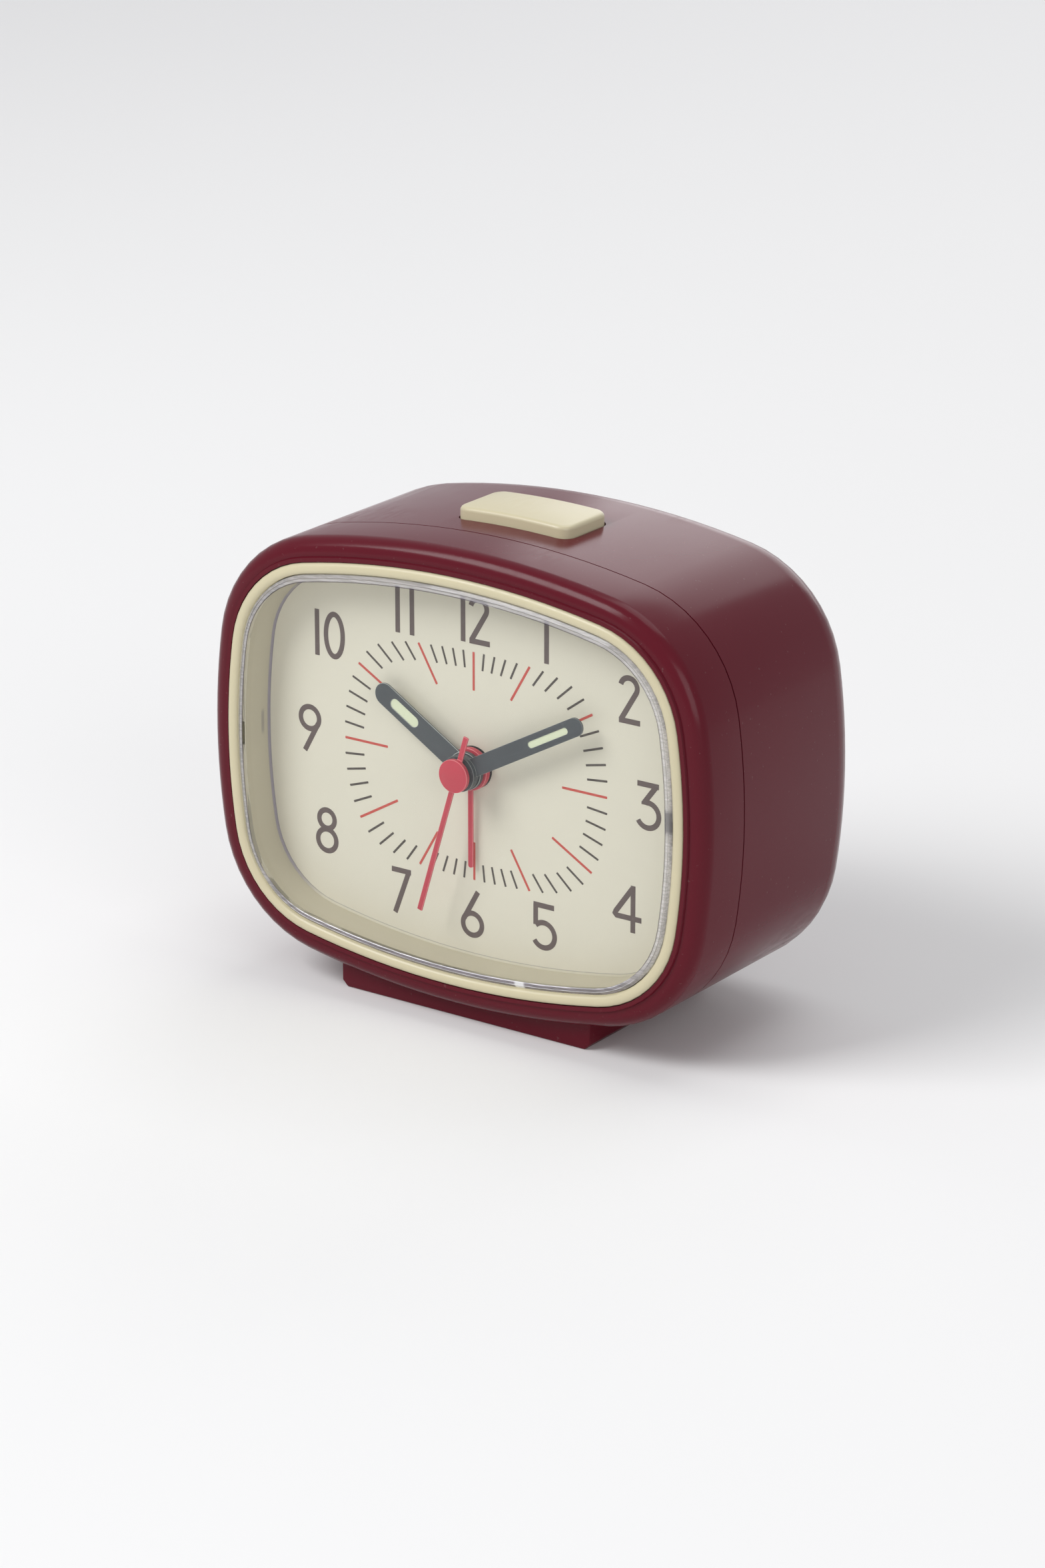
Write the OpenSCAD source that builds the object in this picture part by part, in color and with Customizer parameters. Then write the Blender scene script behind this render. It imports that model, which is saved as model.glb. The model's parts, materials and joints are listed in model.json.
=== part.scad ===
// Vintage-style battery travel alarm clock, standing on its foot.
// X runs to the right of the dial, Y to the back, Z up. Millimetres.
// The origin is under the middle of the clock, on the surface it stands on.

/* [Case] */
// Width of the case across its bulging sides
case_w = 114; // [108:0.5:122]
// Height of the case without its foot and button
case_h = 90; // [86:0.5:98]
// Depth of the case from the bezel to the back wall
case_d = 55; // [53:0.5:64]
// Radius of the left and right sides, seen from the front
side_arc_r = 131; // [110:1:160]
// Radius of the top and bottom, seen from the front
top_arc_r = 180; // [150:1:230]
// Radius of the corners, seen from the front
corner_arc_r = 26; // [23:0.5:30]
// Thickness of the moulded walls
wall = 2.2; // [1.8:0.1:2.8]
// Radius of the front edge
front_round = 3; // [2:0.25:3.5]
// Radius of the rear edge
rear_round = 9; // [7:0.5:11]
// Distance from the bezel's front to the seam of the two case halves
seam_depth = 13.6; // [12:0.2:18]
// Length of the tongue that locates the two halves
tongue = 2; // [1:0.25:3]
// Depth and width of the shadow groove along the seam
seam_groove = 0.3; // [0.2:0.05:0.5]

/* [Foot] */
// Width of the foot
foot_w = 58; // [50:1:70]
// Height of the case above the table
foot_h = 3.5; // [2.5:0.25:6]
// Width of the chamfer along the foot's ends
foot_chamfer = 1.2; // [0.5:0.1:2]
// Distance that the foot stays behind the front and ahead of the rear rounding
foot_inset = 1; // [0.5:0.25:3]

/* [Bezel and lens] */
// Width of red frame outside the cream ring
border = 4.7; // [4.2:0.1:5.5]
// Width of the cream ring
ring_w = 2.15; // [1.8:0.05:2.8]
// Height of the ring's crowned front
ring_crown = 0.7; // [0.4:0.1:0.9]
// Thickness of the red front rim behind which the ring's flange sits
rim_t = 2.4; // [1.8:0.1:3]
// Thickness of the ring's hidden flange
ring_flange_t = 1.2; // [0.8:0.1:1.6]
// Thickness of the clear lens
lens_t = 1.2; // [1:0.1:1.4]
// Depth of the lens face behind the ring's front
lens_recess = 0.2; // [0.1:0.05:0.4]
// Width of the lens edge that rests on the dial surround
lens_ledge = 1.35; // [1:0.05:1.8]
// Length of each of the lens's clips
lens_clip_l = 4.6; // [3:0.2:7]

/* [Dial] */
// Depth of the dial behind the ring's front
dial_depth = 8.6; // [8.4:0.1:10]
// Height of the hands' axis above the middle of the case
dial_rise = 1; // [0:0.25:2]
// Thickness of the dial plate
dial_t = 1; // [0.6:0.1:1.4]
// Thickness of the carrier plate behind the dial
carrier_t = 1.6; // [1.4:0.1:2.4]
// Thickness of the surround's flange in front of the dial
surround_flange_t = 1.2; // [0.8:0.1:1.6]

/* [Hands] */
// Length of the minute hand from the axis to its tip
minute_l = 31; // [26:0.5:33]
// Width of the minute hand
minute_w = 3.6; // [2.5:0.1:4.5]
// Length of the hour hand from the axis to its tip
hour_l = 24.2; // [18:0.5:27]
// Width of the hour hand
hour_w = 4.5; // [3:0.1:5.5]
// Length of the second hand from the axis to its tip
second_l = 30; // [25:0.5:33]
// Length of the second hand's tail
second_tail = 8.2; // [6:0.2:10]
// Width of the second and alarm hands
thin_hand_w = 1.1; // [0.8:0.1:1.6]
// Length of the alarm hand from the axis to its tip
alarm_l = 19.8; // [15:0.5:24]
// Thickness of the stamped hands
hand_t = 0.4; // [0.3:0.05:0.5]
// Minutes that the clock shows at rest
shown_minute = 10.25; // [0:0.25:59]
// Hours that the clock shows at rest
shown_hour = 10.05; // [0:0.05:11.95]
// Seconds that the clock shows at rest
shown_second = 32.8; // [0:0.2:59.8]
// Hour that the alarm is set to
shown_alarm = 6; // [0:0.25:11.75]

/* [Movement] */
// Width of the movement's box
box_w = 68; // [66:0.5:72]
// Height of the movement's box
box_h = 56; // [54:0.5:60]
// Wall of the movement's box
box_wall = 1.2; // [1:0.1:1.6]
// Thickness of the movement's front plate
front_plate_t = 1.4; // [1.2:0.1:2]
// Thickness of the movement's middle plate
middle_plate_t = 1; // [0.8:0.1:1.2]
// Thickness of the movement's rear cover
rear_cover_t = 1.4; // [1.2:0.1:2]
// Radius of the fixed bush through the dial
bush_r = 4; // [3.6:0.1:4.1]
// Radius of the second hand's arbor
arbor_r = 0.5; // [0.4:0.05:0.6]
// Wall of the centre tube and of the cannon pinion's tube
tube_wall = 0.4; // [0.35:0.05:0.5]
// Wall of the hour and alarm tubes
outer_tube_wall = 0.6; // [0.5:0.05:0.65]
// Radius of the wheels' pivots
pivot_r = 0.45; // [0.35:0.05:0.55]
// Radius of the stud that the intermediate wheel turns on
stud_r = 0.7; // [0.6:0.05:0.8]
// Radius of the setting stems
stem_r = 1.5; // [1.2:0.1:1.8]
// Height of both setting stems above the hands' axis
stem_z = 13.2; // [12.8:0.1:13.8]

/* [Gears] */
// Module of the setting gears
setting_module = 0.5; // [0.48:0.01:0.51]
// Module of the second wheel and the reduction pinion
second_module = 0.4; // [0.4:0.005:0.41]
// Module of the rotor pinion and the reduction wheel
rotor_module = 0.3; // [0.28:0.01:0.31]
// Distance from the hands' axis to the third wheel
third_dist = 12.24; // [12:0.02:12.4]

/* [Knobs and switches] */
// Radius of the setting knobs
knob_r = 6.5; // [5.5:0.25:8]
// Height of the knobs behind the back wall
knob_proud = 5; // [4:0.25:7]
// Number of flutes round each knob
knob_flutes = 18; // [12:1:24]
// Width of the snooze button
button_w = 25.6; // [20:0.2:32]
// Depth of the snooze button from front to back
button_d = 14; // [10:0.5:18]
// Height of the snooze button above the case
button_proud = 2.3; // [1.8:0.1:3]
// Radius of the snooze button's corners, seen from above
button_corner = 2.5; // [1.5:0.25:4]
// Radius of the snooze button's upper edge
button_edge = 0.8; // [0.4:0.1:1.2]
// Travel of the snooze button
button_travel = 1; // [0.6:0.1:1.4]
// Travel of the alarm switch
slider_travel = 3; // [2:0.25:4]

/* [Battery] */
// Radius of the AA cell
cell_r = 7; // [6.9:0.05:7.15]
// Length of the AA cell without its button
cell_l = 49.2; // [48.5:0.1:49.5]
// Width of the battery door
door_w = 57; // [56:0.5:60]
// Height of the battery door
door_h = 18; // [17.5:0.25:20]
// Radius of the battery door's corners
door_corner = 1.5; // [0.5:0.25:2.5]
// Height of the battery below the middle of the case
cell_drop = 22; // [21:0.25:23]

/* [Fits] */
// Radial clearance of a turning fit
run = 0.05; // [0.03:0.01:0.08]
// Clearance of a pressed or nested fit
snug = 0.02; // [0.01:0.01:0.04]
// Clearance between moulded pieces that slide into each other
loose = 0.15; // [0.1:0.05:0.25]
// Clearance round the buttons and the battery door
slip = 0.3; // [0.25:0.05:0.4]

/* [Hidden] */
// Teeth of the cannon pinion
cannon_teeth = 10;
// Teeth of the intermediate wheel
intermediate_teeth = 30;
// Teeth of the intermediate pinion
intermediate_leaves = 8;
// Teeth of the hour wheel
hour_teeth = 32;
// Teeth of the time stem's pinion
time_leaves = 10;
// Teeth of the alarm wheel
alarm_teeth = 48;
// Teeth of the alarm stem's pinion
alarm_leaves = 16;
// Teeth of the centre wheel
centre_teeth = 64;
// Teeth of the third wheel
third_teeth = 60;
// Teeth of the pinions on the third wheel, the second wheel and the rotor
train_leaves = 8;
// Teeth of the second wheel
second_teeth = 50;
// Teeth of the reduction wheel
reduction_teeth = 48;
// Teeth of the reduction wheel's pinion
reduction_leaves = 10;

$fn = 48;

// Colours, as the photograph shows them
crimson = [0.37, 0.06, 0.13];
cream = [0.86, 0.82, 0.67];
dial_white = [0.88, 0.85, 0.75];
surround_beige = [0.67, 0.64, 0.56];
slate = [0.18, 0.19, 0.2];
hand_red = [0.75, 0.12, 0.2];
lume_green = [0.83, 0.85, 0.71];
black_plastic = [0.09, 0.09, 0.1];
white_nylon = [0.93, 0.92, 0.88];
brass = [0.78, 0.62, 0.3];
steel = [0.7, 0.71, 0.73];
copper = [0.72, 0.36, 0.16];
board_green = [0.1, 0.33, 0.2];

// Levels from front to back
front_y = -(case_d + knob_proud) / 2;
back_y = front_y + case_d;
seam_y = front_y + seam_depth;
dial_y = front_y + dial_depth;
frame_front_y = front_y + 1;
rim_back_y = frame_front_y + rim_t;
ring_back_y = rim_back_y + ring_flange_t;
lens_front_y = front_y + lens_recess;
lens_back_y = lens_front_y + lens_t;
surround_flange_y = dial_y - surround_flange_t;
carrier_y = dial_y + dial_t;
box_y = carrier_y + carrier_t;
box_in_y = box_y + front_plate_t;

// Heights
case_z = foot_h + case_h / 2;
axis_z = case_z + dial_rise;
case_top_z = case_z + case_h / 2;

// The case's outline: side, top and corner arcs that meet smoothly
side_c = case_w / 2 - side_arc_r;
top_c = case_h / 2 - top_arc_r;
corner_side_r = side_arc_r - corner_arc_r;
corner_top_r = top_arc_r - corner_arc_r;
centres_d = norm([side_c, top_c]);
corner_along = (centres_d ^ 2 + corner_side_r ^ 2 - corner_top_r ^ 2) / (2 * centres_d);
corner_across = sqrt(corner_side_r ^ 2 - corner_along ^ 2);
corner_x = side_c - (side_c * corner_along + top_c * corner_across) / centres_d;
corner_z = (top_c * corner_along - side_c * corner_across) / centres_d;
side_end_a = atan2(corner_z, corner_x - side_c);
top_start_a = atan2(corner_z - top_c, corner_x);
side_steps = 6;
corner_steps = 10;
top_steps = 8;

// A quarter of the outline, moved outwards by off (inwards when negative)
function quarter(off) = concat(
    [for (i = [0 : side_steps - 1]) let (a = side_end_a * i / side_steps)
        [side_c + (side_arc_r + off) * cos(a), (side_arc_r + off) * sin(a)]],
    [for (i = [0 : corner_steps - 1])
        let (a = side_end_a + (top_start_a - side_end_a) * i / corner_steps)
        [corner_x + (corner_arc_r + off) * cos(a), corner_z + (corner_arc_r + off) * sin(a)]],
    [for (i = [0 : top_steps - 1]) let (a = top_start_a + (90 - top_start_a) * i / top_steps)
        [(top_arc_r + off) * cos(a), top_c + (top_arc_r + off) * sin(a)]]);

// The whole outline, anticlockwise seen from the front
function outline(off) = let (q = quarter(off), n = len(q), top = [0, top_c + top_arc_r + off]) concat(
    q, [top], [for (i = [n - 1 : -1 : 1]) [-q[i][0], q[i][1]]],
    [for (i = [0 : n - 1]) [-q[i][0], -q[i][1]]], [[0, -top[1]]],
    [for (i = [n - 1 : -1 : 1]) [q[i][0], -q[i][1]]]);

// Rings of the outline at each [offset, y] of a profile, joined into a skin. The profile
// runs outwards at the front, back along the outside and inwards at the back.
// A looped skin closes on itself like a picture frame; otherwise both ends are capped.
module outline_skin(profile, looped) {
    n = len(outline(0));
    m = len(profile);
    points = [for (p = profile) for (q = outline(p[0])) [q[0], p[1], q[1] + case_z]];
    sides = [for (i = [0 : m - (looped ? 1 : 2)]) for (j = [0 : n - 1])
        [i * n + j, i * n + (j + 1) % n, ((i + 1) % m) * n + (j + 1) % n, ((i + 1) % m) * n + j]];
    caps = looped ? [] : [[for (j = [n - 1 : -1 : 0]) j], [for (j = [0 : n - 1]) (m - 1) * n + j]];
    polyhedron(points, concat(sides, caps), convexity = 6);
}

// A quarter round of a profile from offset o0 at y0, radius r, between two angles
function round_profile(o, y, r, a0, a1, steps) =
    [for (i = [0 : steps]) let (a = a0 + (a1 - a0) * i / steps) [o + r * cos(a), y + r * sin(a)]];

// Places at a given offset inside the outline
function side_x(off, z) = side_c + sqrt((side_arc_r + off) ^ 2 - z ^ 2);
function corner_at(off) = [
    corner_x + (corner_arc_r + off) * cos(45), corner_z + (corner_arc_r + off) * sin(45)];

// A flat drawing in X and Z, made h thick towards the back from y
module slab(y, h) {
    translate([0, y + h, 0]) rotate([90, 0, 0]) linear_extrude(h) children();
}

// A round bar along Y
module bar(x, y, z, r, h) {
    translate([x, y + h, z]) rotate([90, 0, 0]) cylinder(r = r, h = h);
}

// A tube along Y
module tube(y, h, r_in, r_out) {
    difference() {
        bar(0, y, 0, r_out, h);
        bar(0, y - 1, 0, r_in, h + 2);
    }
}

// Half of a rectangle with round corners, from right to left, and the whole of it
function rounded_half(w, d, r) = let (in_x = w / 2 - r, in_y = d / 2 - r) concat(
    [for (a = [0 : 18 : 90]) [in_x + r * cos(a), in_y + r * sin(a)]],
    [for (i = [1 : 7]) [in_x * (1 - i / 4), d / 2]],
    [for (a = [90 : -18 : 0]) [-in_x - r * cos(a), in_y + r * sin(a)]]);
function rounded(w, d, r) = let (half = rounded_half(w, d, r))
    concat(half, [for (i = [len(half) - 1 : -1 : 0]) [half[i][0], -half[i][1]]]);

module box_at(x, y, z, w, d, h) {
    translate([x - w / 2, y, z - h / 2]) cube([w, d, h]);
}

// Gears: involute flanks from a few points, thinned a little for backlash
pressure_a = 28;
addendum = 0.8;
dedendum = 1.15;
backlash = 0.14;
deg = 180 / PI;

function involute(a) = tan(a) * deg - a;
function tooth_half_a(r, pitch_r, teeth) = let (base_r = pitch_r * cos(pressure_a))
    90 / teeth * (1 - backlash) + involute(pressure_a) - involute(acos(min(1, base_r / r)));

// Outline of a gear whose first tooth points along phase
function gear_outline(teeth, module_, phase) = let (
    pitch_r = teeth * module_ / 2,
    radii = [pitch_r - dedendum * module_, pitch_r - 0.2 * module_, pitch_r + addendum * module_],
    halves = [for (r = radii) tooth_half_a(r, pitch_r, teeth)])
    [for (i = [0 : teeth - 1], k = [0 : 5]) let (
        j = k < 3 ? k : 5 - k,
        a = phase + 360 * i / teeth + (k < 3 ? -1 : 1) * halves[j])
        [radii[j] * cos(a), radii[j] * sin(a)]];

// Phase of a follower of z2 teeth at angle a from a driver of z1 teeth with phase p1
function mesh_phase(a, z1, p1, z2) = a + 180 - 180 / z2 + (a - p1) * z1 / z2;

module gear(at, y, h, teeth, module_, phase) {
    from_axis(at) slab(y, h) polygon(gear_outline(teeth, module_, phase));
}

// Radii of the coaxial tubes, from the inside out
centre_in_r = arbor_r + run;
centre_out_r = centre_in_r + tube_wall;
cannon_in_r = centre_out_r + run;
cannon_out_r = cannon_in_r + tube_wall;
hour_in_r = cannon_out_r + run;
hour_out_r = hour_in_r + outer_tube_wall;
alarm_in_r = hour_out_r + run;
alarm_out_r = alarm_in_r + outer_tube_wall;
bush_in_r = alarm_out_r + run;

// Axes, as [x, z] from the hands' axis
cannon_dist = setting_module * (cannon_teeth + intermediate_teeth) / 2;
time_dist = cannon_dist + setting_module * (intermediate_teeth + time_leaves) / 2;
alarm_dist = setting_module * (alarm_teeth + alarm_leaves) / 2;
time_at = [sqrt(time_dist ^ 2 - stem_z ^ 2), stem_z];
alarm_at = [-sqrt(alarm_dist ^ 2 - stem_z ^ 2), stem_z];
intermediate_at = time_at * cannon_dist / time_dist;
third_at = [0, -third_dist];
reduction_at = [-second_module * (second_teeth + reduction_leaves) / 2, 0];
rotor_at = reduction_at - [rotor_module * (reduction_teeth + train_leaves) / 2, 0];
second_third_module = 2 * third_dist / (train_leaves + third_teeth);
third_centre_module = 2 * third_dist / (train_leaves + centre_teeth);

// Phases that put every pair in mesh at rest
time_a = atan2(time_at[1], time_at[0]);
alarm_a = atan2(alarm_at[1], alarm_at[0]);
intermediate_phase = mesh_phase(time_a, cannon_teeth, time_a, intermediate_teeth);
time_phase = mesh_phase(time_a, intermediate_teeth, intermediate_phase, time_leaves);
intermediate_leaf_phase = time_a + 180;
hour_phase = mesh_phase(time_a + 180, intermediate_leaves, intermediate_leaf_phase, hour_teeth);
alarm_leaf_phase = mesh_phase(alarm_a, alarm_teeth, alarm_a, alarm_leaves);
third_phase = mesh_phase(-90, train_leaves, -90, third_teeth);
centre_phase = mesh_phase(90, train_leaves, 90, centre_teeth);
reduction_leaf_phase = mesh_phase(180, second_teeth, 180, reduction_leaves);
rotor_phase = mesh_phase(180, reduction_teeth, 180, train_leaves);

// Layers of the movement, as depths behind the box's inner face
gap = 0.3;
wheel_t = 0.8;
alarm_wheel_y = box_in_y + gap;
hour_wheel_y = alarm_wheel_y + 1 + gap;
intermediate_leaf_y = hour_wheel_y - 0.1;
intermediate_leaf_h = wheel_t + 0.2 + gap;
intermediate_wheel_y = intermediate_leaf_y + intermediate_leaf_h;
middle_y = intermediate_wheel_y + wheel_t + 2 * gap;
centre_wheel_y = middle_y + middle_plate_t + gap;
third_leaf_y = centre_wheel_y - 0.1;
third_leaf_h = wheel_t + gap;
third_wheel_y = third_leaf_y + third_leaf_h;
third_wheel_t = 0.6;
second_leaf_y = third_wheel_y - 0.1;
second_leaf_h = third_wheel_t + 0.2 + gap;
second_wheel_y = second_leaf_y + second_leaf_h;
reduction_leaf_y = second_wheel_y - 0.1;
reduction_leaf_h = third_wheel_t + gap;
reduction_wheel_y = reduction_leaf_y + reduction_leaf_h;
rotor_leaf_y = reduction_wheel_y - 0.1;
rotor_leaf_h = third_wheel_t + 0.6;
magnet_y = rotor_leaf_y + rotor_leaf_h;
magnet_t = 1.8;
magnet_r = 3.2;
stator_y = magnet_y + 0.5;
stator_t = 0.8;
cover_y = magnet_y + magnet_t + 2;
board_t = 0.8;
board_y = cover_y - board_t - 0.6;

// Hands, as distances in front of the dial
alarm_hub = [0.6, 1.8, 4.15];
hour_hub = [2.1, 3.1, 3.7];
minute_hub = [3.4, 5, 3.5];
second_disc = [5.9, 6.8, 3.25];
hand_in_hub = 0.3;
lume_sink = 0.1;

function hand_a(share) = 90 - 360 * share;
minute_a = hand_a(shown_minute / 60);
hour_a = hand_a(shown_hour / 12);
second_a = hand_a(shown_second / 60);
alarm_a0 = hand_a(shown_alarm / 12);

// A hand seen from the front: a blade with a round tip, turned to angle a
module blade(from, to, w, a) {
    rotate(a) {
        translate([from, -w / 2]) square([to - w / 2 - from, w]);
        translate([to - w / 2, 0]) circle(r = w / 2);
    }
}

// A slot with round ends from r0 to r1 along angle a
module slot(r0, r1, w, a) {
    rotate(a) {
        translate([r0 + w / 2, -w / 2]) square([r1 - r0 - w, w]);
        translate([r0 + w / 2, 0]) circle(r = w / 2);
        translate([r1 - w / 2, 0]) circle(r = w / 2);
    }
}

module from_axis(at) {
    translate([at[0], 0, axis_z + at[1]]) children();
}

// A hub from hub[1] to hub[0] in front of the dial, with its stamped blade and bore
module hand(hub, bore_r, length, w, a, window) {
    from_axis([0, 0]) difference() {
        union() {
            bar(0, dial_y - hub[1], 0, hub[2], hub[1] - hub[0]);
            slab(dial_y - hub[0] - hand_in_hub - hand_t, hand_t) blade(0, length, w, a);
        }
        bar(0, dial_y - hub[1] - 1, 0, bore_r, hub[1] - hub[0] + 2);
        if (len(window) > 0)
            slab(dial_y - hub[1] - 1, hub[1] + 1) slot(window[0], window[1], window[2], a);
    }
}

minute_window = [minute_l - 13.6, minute_l - 3.6, 1.3];
hour_window = [hour_l - 11.2, hour_l - 4.1, 2.1];

module lume(hub, window, a) {
    from_axis([0, 0]) slab(dial_y - hub[0] - hand_in_hub - hand_t + lume_sink, hand_t - lume_sink)
        slot(window[0] + snug, window[1] - snug, window[2] - 2 * snug, a);
}

module minute_hand() {
    color(slate) hand(minute_hub, cannon_out_r + snug, minute_l, minute_w, minute_a, minute_window);
}

module minute_lume() {
    color(lume_green) lume(minute_hub, minute_window, minute_a);
}

module hour_hand() {
    color(slate) hand(hour_hub, hour_out_r + snug, hour_l, hour_w, hour_a, hour_window);
}

module hour_lume() {
    color(lume_green) lume(hour_hub, hour_window, hour_a);
}

module alarm_hand() {
    color(hand_red) hand(alarm_hub, alarm_out_r + snug, alarm_l, thin_hand_w, alarm_a0, []);
}

// The second hand covers the others' hubs with its disc
module second_hand() {
    boss_r = arbor_r + 1.1;
    boss_h = 0.6;
    back = dial_y - second_disc[0];
    color(hand_red) from_axis([0, 0]) difference() {
        union() {
            bar(0, dial_y - second_disc[1], 0, second_disc[2], second_disc[1] - second_disc[0]);
            bar(0, back, 0, boss_r, boss_h);
            slab(back, hand_t) rotate(second_a) translate([-second_tail, -thin_hand_w / 2])
                square([second_tail + second_l, thin_hand_w]);
        }
        bar(0, back - 0.4, 0, arbor_r + snug, boss_h + 1);
    }
}

// Wheels
module alarm_wheel() {
    front = dial_y - alarm_hub[1];
    color(white_nylon) difference() {
        union() {
            gear([0, 0], alarm_wheel_y, 1, alarm_teeth, setting_module, alarm_a);
            from_axis([0, 0]) bar(0, front, 0, alarm_out_r, alarm_wheel_y - front);
        }
        from_axis([0, 0]) bar(0, front - 1, 0, alarm_in_r, alarm_wheel_y - front + 3);
    }
}

module hour_wheel() {
    front = dial_y - hour_hub[1];
    color(white_nylon) difference() {
        union() {
            gear([0, 0], hour_wheel_y, wheel_t, hour_teeth, setting_module, hour_phase);
            from_axis([0, 0]) bar(0, front, 0, hour_out_r, hour_wheel_y - front);
        }
        from_axis([0, 0]) bar(0, front - 1, 0, hour_in_r, hour_wheel_y - front + 3);
    }
}

module cannon_pinion() {
    front = dial_y - minute_hub[1];
    color(brass) difference() {
        union() {
            gear([0, 0], intermediate_wheel_y, wheel_t, cannon_teeth, setting_module, time_a);
            from_axis([0, 0]) bar(0, front, 0, cannon_out_r, intermediate_wheel_y - front);
        }
        from_axis([0, 0]) bar(0, front - 1, 0, cannon_in_r, intermediate_wheel_y + wheel_t - front + 2);
    }
}

// An arbor whose two ends turn in the plates
module arbor(at, y0, y1) {
    from_axis(at) bar(0, y0, 0, pivot_r, y1 - y0);
}

// The intermediate wheel turns on a stud of the middle plate, behind the alarm wheel
module intermediate_wheel() {
    color(white_nylon) difference() {
        union() {
            gear(intermediate_at, intermediate_leaf_y, intermediate_leaf_h, intermediate_leaves,
                setting_module, intermediate_leaf_phase);
            gear(intermediate_at, intermediate_wheel_y, wheel_t, intermediate_teeth,
                setting_module, intermediate_phase);
        }
        from_axis(intermediate_at) bar(0, intermediate_leaf_y - 1, 0, stud_r + run, 6);
    }
}

// The centre wheel turns once an hour; its tube carries the cannon pinion by friction
module centre_wheel() {
    front = dial_y - minute_hub[1] + gap;
    color(brass) difference() {
        union() {
            gear([0, 0], centre_wheel_y, wheel_t, centre_teeth, third_centre_module, centre_phase);
            from_axis([0, 0]) bar(0, front, 0, centre_out_r, centre_wheel_y - front);
        }
        from_axis([0, 0]) bar(0, front - 1, 0, centre_in_r, centre_wheel_y + wheel_t - front + 2);
    }
}

module third_wheel() {
    color(white_nylon) {
        gear(third_at, third_leaf_y, third_leaf_h, train_leaves, third_centre_module, 90);
        gear(third_at, third_wheel_y, third_wheel_t, third_teeth, second_third_module, third_phase);
        arbor(third_at, middle_y, cover_y + rear_cover_t / 2);
    }
}

module second_wheel() {
    front = dial_y - second_disc[0] - gap;
    color(white_nylon) {
        gear([0, 0], second_leaf_y, second_leaf_h, train_leaves, second_third_module, -90);
        gear([0, 0], second_wheel_y, third_wheel_t, second_teeth, second_module, 180);
        from_axis([0, 0]) bar(0, front, 0, arbor_r, cover_y + rear_cover_t / 2 - front);
    }
}

module reduction_wheel() {
    color(white_nylon) {
        gear(reduction_at, reduction_leaf_y, reduction_leaf_h, reduction_leaves, second_module,
            reduction_leaf_phase);
        gear(reduction_at, reduction_wheel_y, third_wheel_t, reduction_teeth, rotor_module, 180);
        arbor(reduction_at, middle_y, cover_y + rear_cover_t / 2);
    }
}

module rotor_pinion() {
    color(white_nylon) {
        gear(rotor_at, rotor_leaf_y, rotor_leaf_h, train_leaves, rotor_module, rotor_phase);
        arbor(rotor_at, middle_y, cover_y + rear_cover_t / 2);
    }
}

module rotor_magnet() {
    color(black_plastic) from_axis(rotor_at) tube(magnet_y, magnet_t, pivot_r + snug, magnet_r);
}

// Setting stems and knobs
module stem(at, y0, leaves, phase) {
    gear(at, y0, wheel_t, leaves, setting_module, phase);
    from_axis(at) {
        bar(0, box_y + gap, 0, pivot_r, y0 - box_y);
        bar(0, y0 + wheel_t, 0, stem_r, back_y + knob_proud / 2 - y0 - wheel_t);
    }
}

module time_stem() {
    color(steel) stem(time_at, intermediate_wheel_y, time_leaves, time_phase);
}

module alarm_stem() {
    color(steel) stem(alarm_at, alarm_wheel_y, alarm_leaves, alarm_leaf_phase);
}

module knob(at) {
    flute_r = 0.6;
    from_axis(at) difference() {
        union() {
            bar(0, back_y + slip, 0, knob_r, knob_proud - slip - 0.6);
            bar(0, back_y + knob_proud - 0.6, 0, knob_r - 0.6, 0.6);
        }
        for (i = [0 : knob_flutes - 1]) rotate([0, 360 * i / knob_flutes, 0])
            bar(knob_r + flute_r / 2, back_y, 0, flute_r, knob_proud + 1);
        bar(0, back_y - 1, 0, stem_r + snug, knob_proud / 2 + 1 + snug);
    }
}

module time_knob() {
    color(black_plastic) knob(time_at);
}

module alarm_knob() {
    color(black_plastic) knob(alarm_at);
}

// Case pieces
bead_w = 0.8;
bead_h = 0.5;
inner_gap = 0.4;
lip_off = loose - border;
inner_off = -(wall + inner_gap);
ring_in_off = -(border + ring_w);
nest_off = ring_in_off - loose;
well_off = ring_in_off - lens_ledge;
well_lip = 0.4;

// Stub posts at the sides of the front frame, which the dial and its carrier are screwed to
stub_r = 2.6;
stub_off = -(wall + 2);
stub_z = 14;
stub_y = ring_back_y + loose;
screw_r = 0.95;
screw_head_r = 1.9;
screw_head_h = 1.2;

module at_stubs() {
    x = side_x(stub_off, stub_z);
    for (sx = [-1, 1], sz = [-1, 1]) translate([sx * x, 0, case_z + sz * stub_z]) children();
}

// Corner posts of the carrier, which the rear shell's bosses are screwed to
post_r = 3.2;
boss_r = 3.6;
post_l = 14;
web_t = 2;
post_end_y = box_y + post_l;
corner_p = corner_at(-(rear_round + boss_r));

module at_corners() {
    for (sx = [-1, 1], sz = [-1, 1])
        translate([sx * corner_p[0], 0, case_z + sz * corner_p[1]]) children();
}

module front_frame() {
    profile = concat(
        [[lip_off, frame_front_y - bead_h], [lip_off + bead_w, frame_front_y - bead_h],
            [lip_off + bead_w + 0.2, frame_front_y]],
        round_profile(-front_round, frame_front_y + front_round, front_round, -90, 0, 6),
        [[0, seam_y], [-wall / 2, seam_y], [-wall / 2, seam_y + tongue], [-wall, seam_y + tongue],
            [-wall, rim_back_y], [lip_off, rim_back_y]]);
    color(crimson) difference() {
        union() {
            outline_skin(profile, true);
            at_stubs() bar(0, stub_y, 0, stub_r, surround_flange_y - stub_y);
        }
        at_stubs() bar(0, stub_y + 0.4, 0, screw_r + snug, surround_flange_y - stub_y);
    }
}

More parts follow.
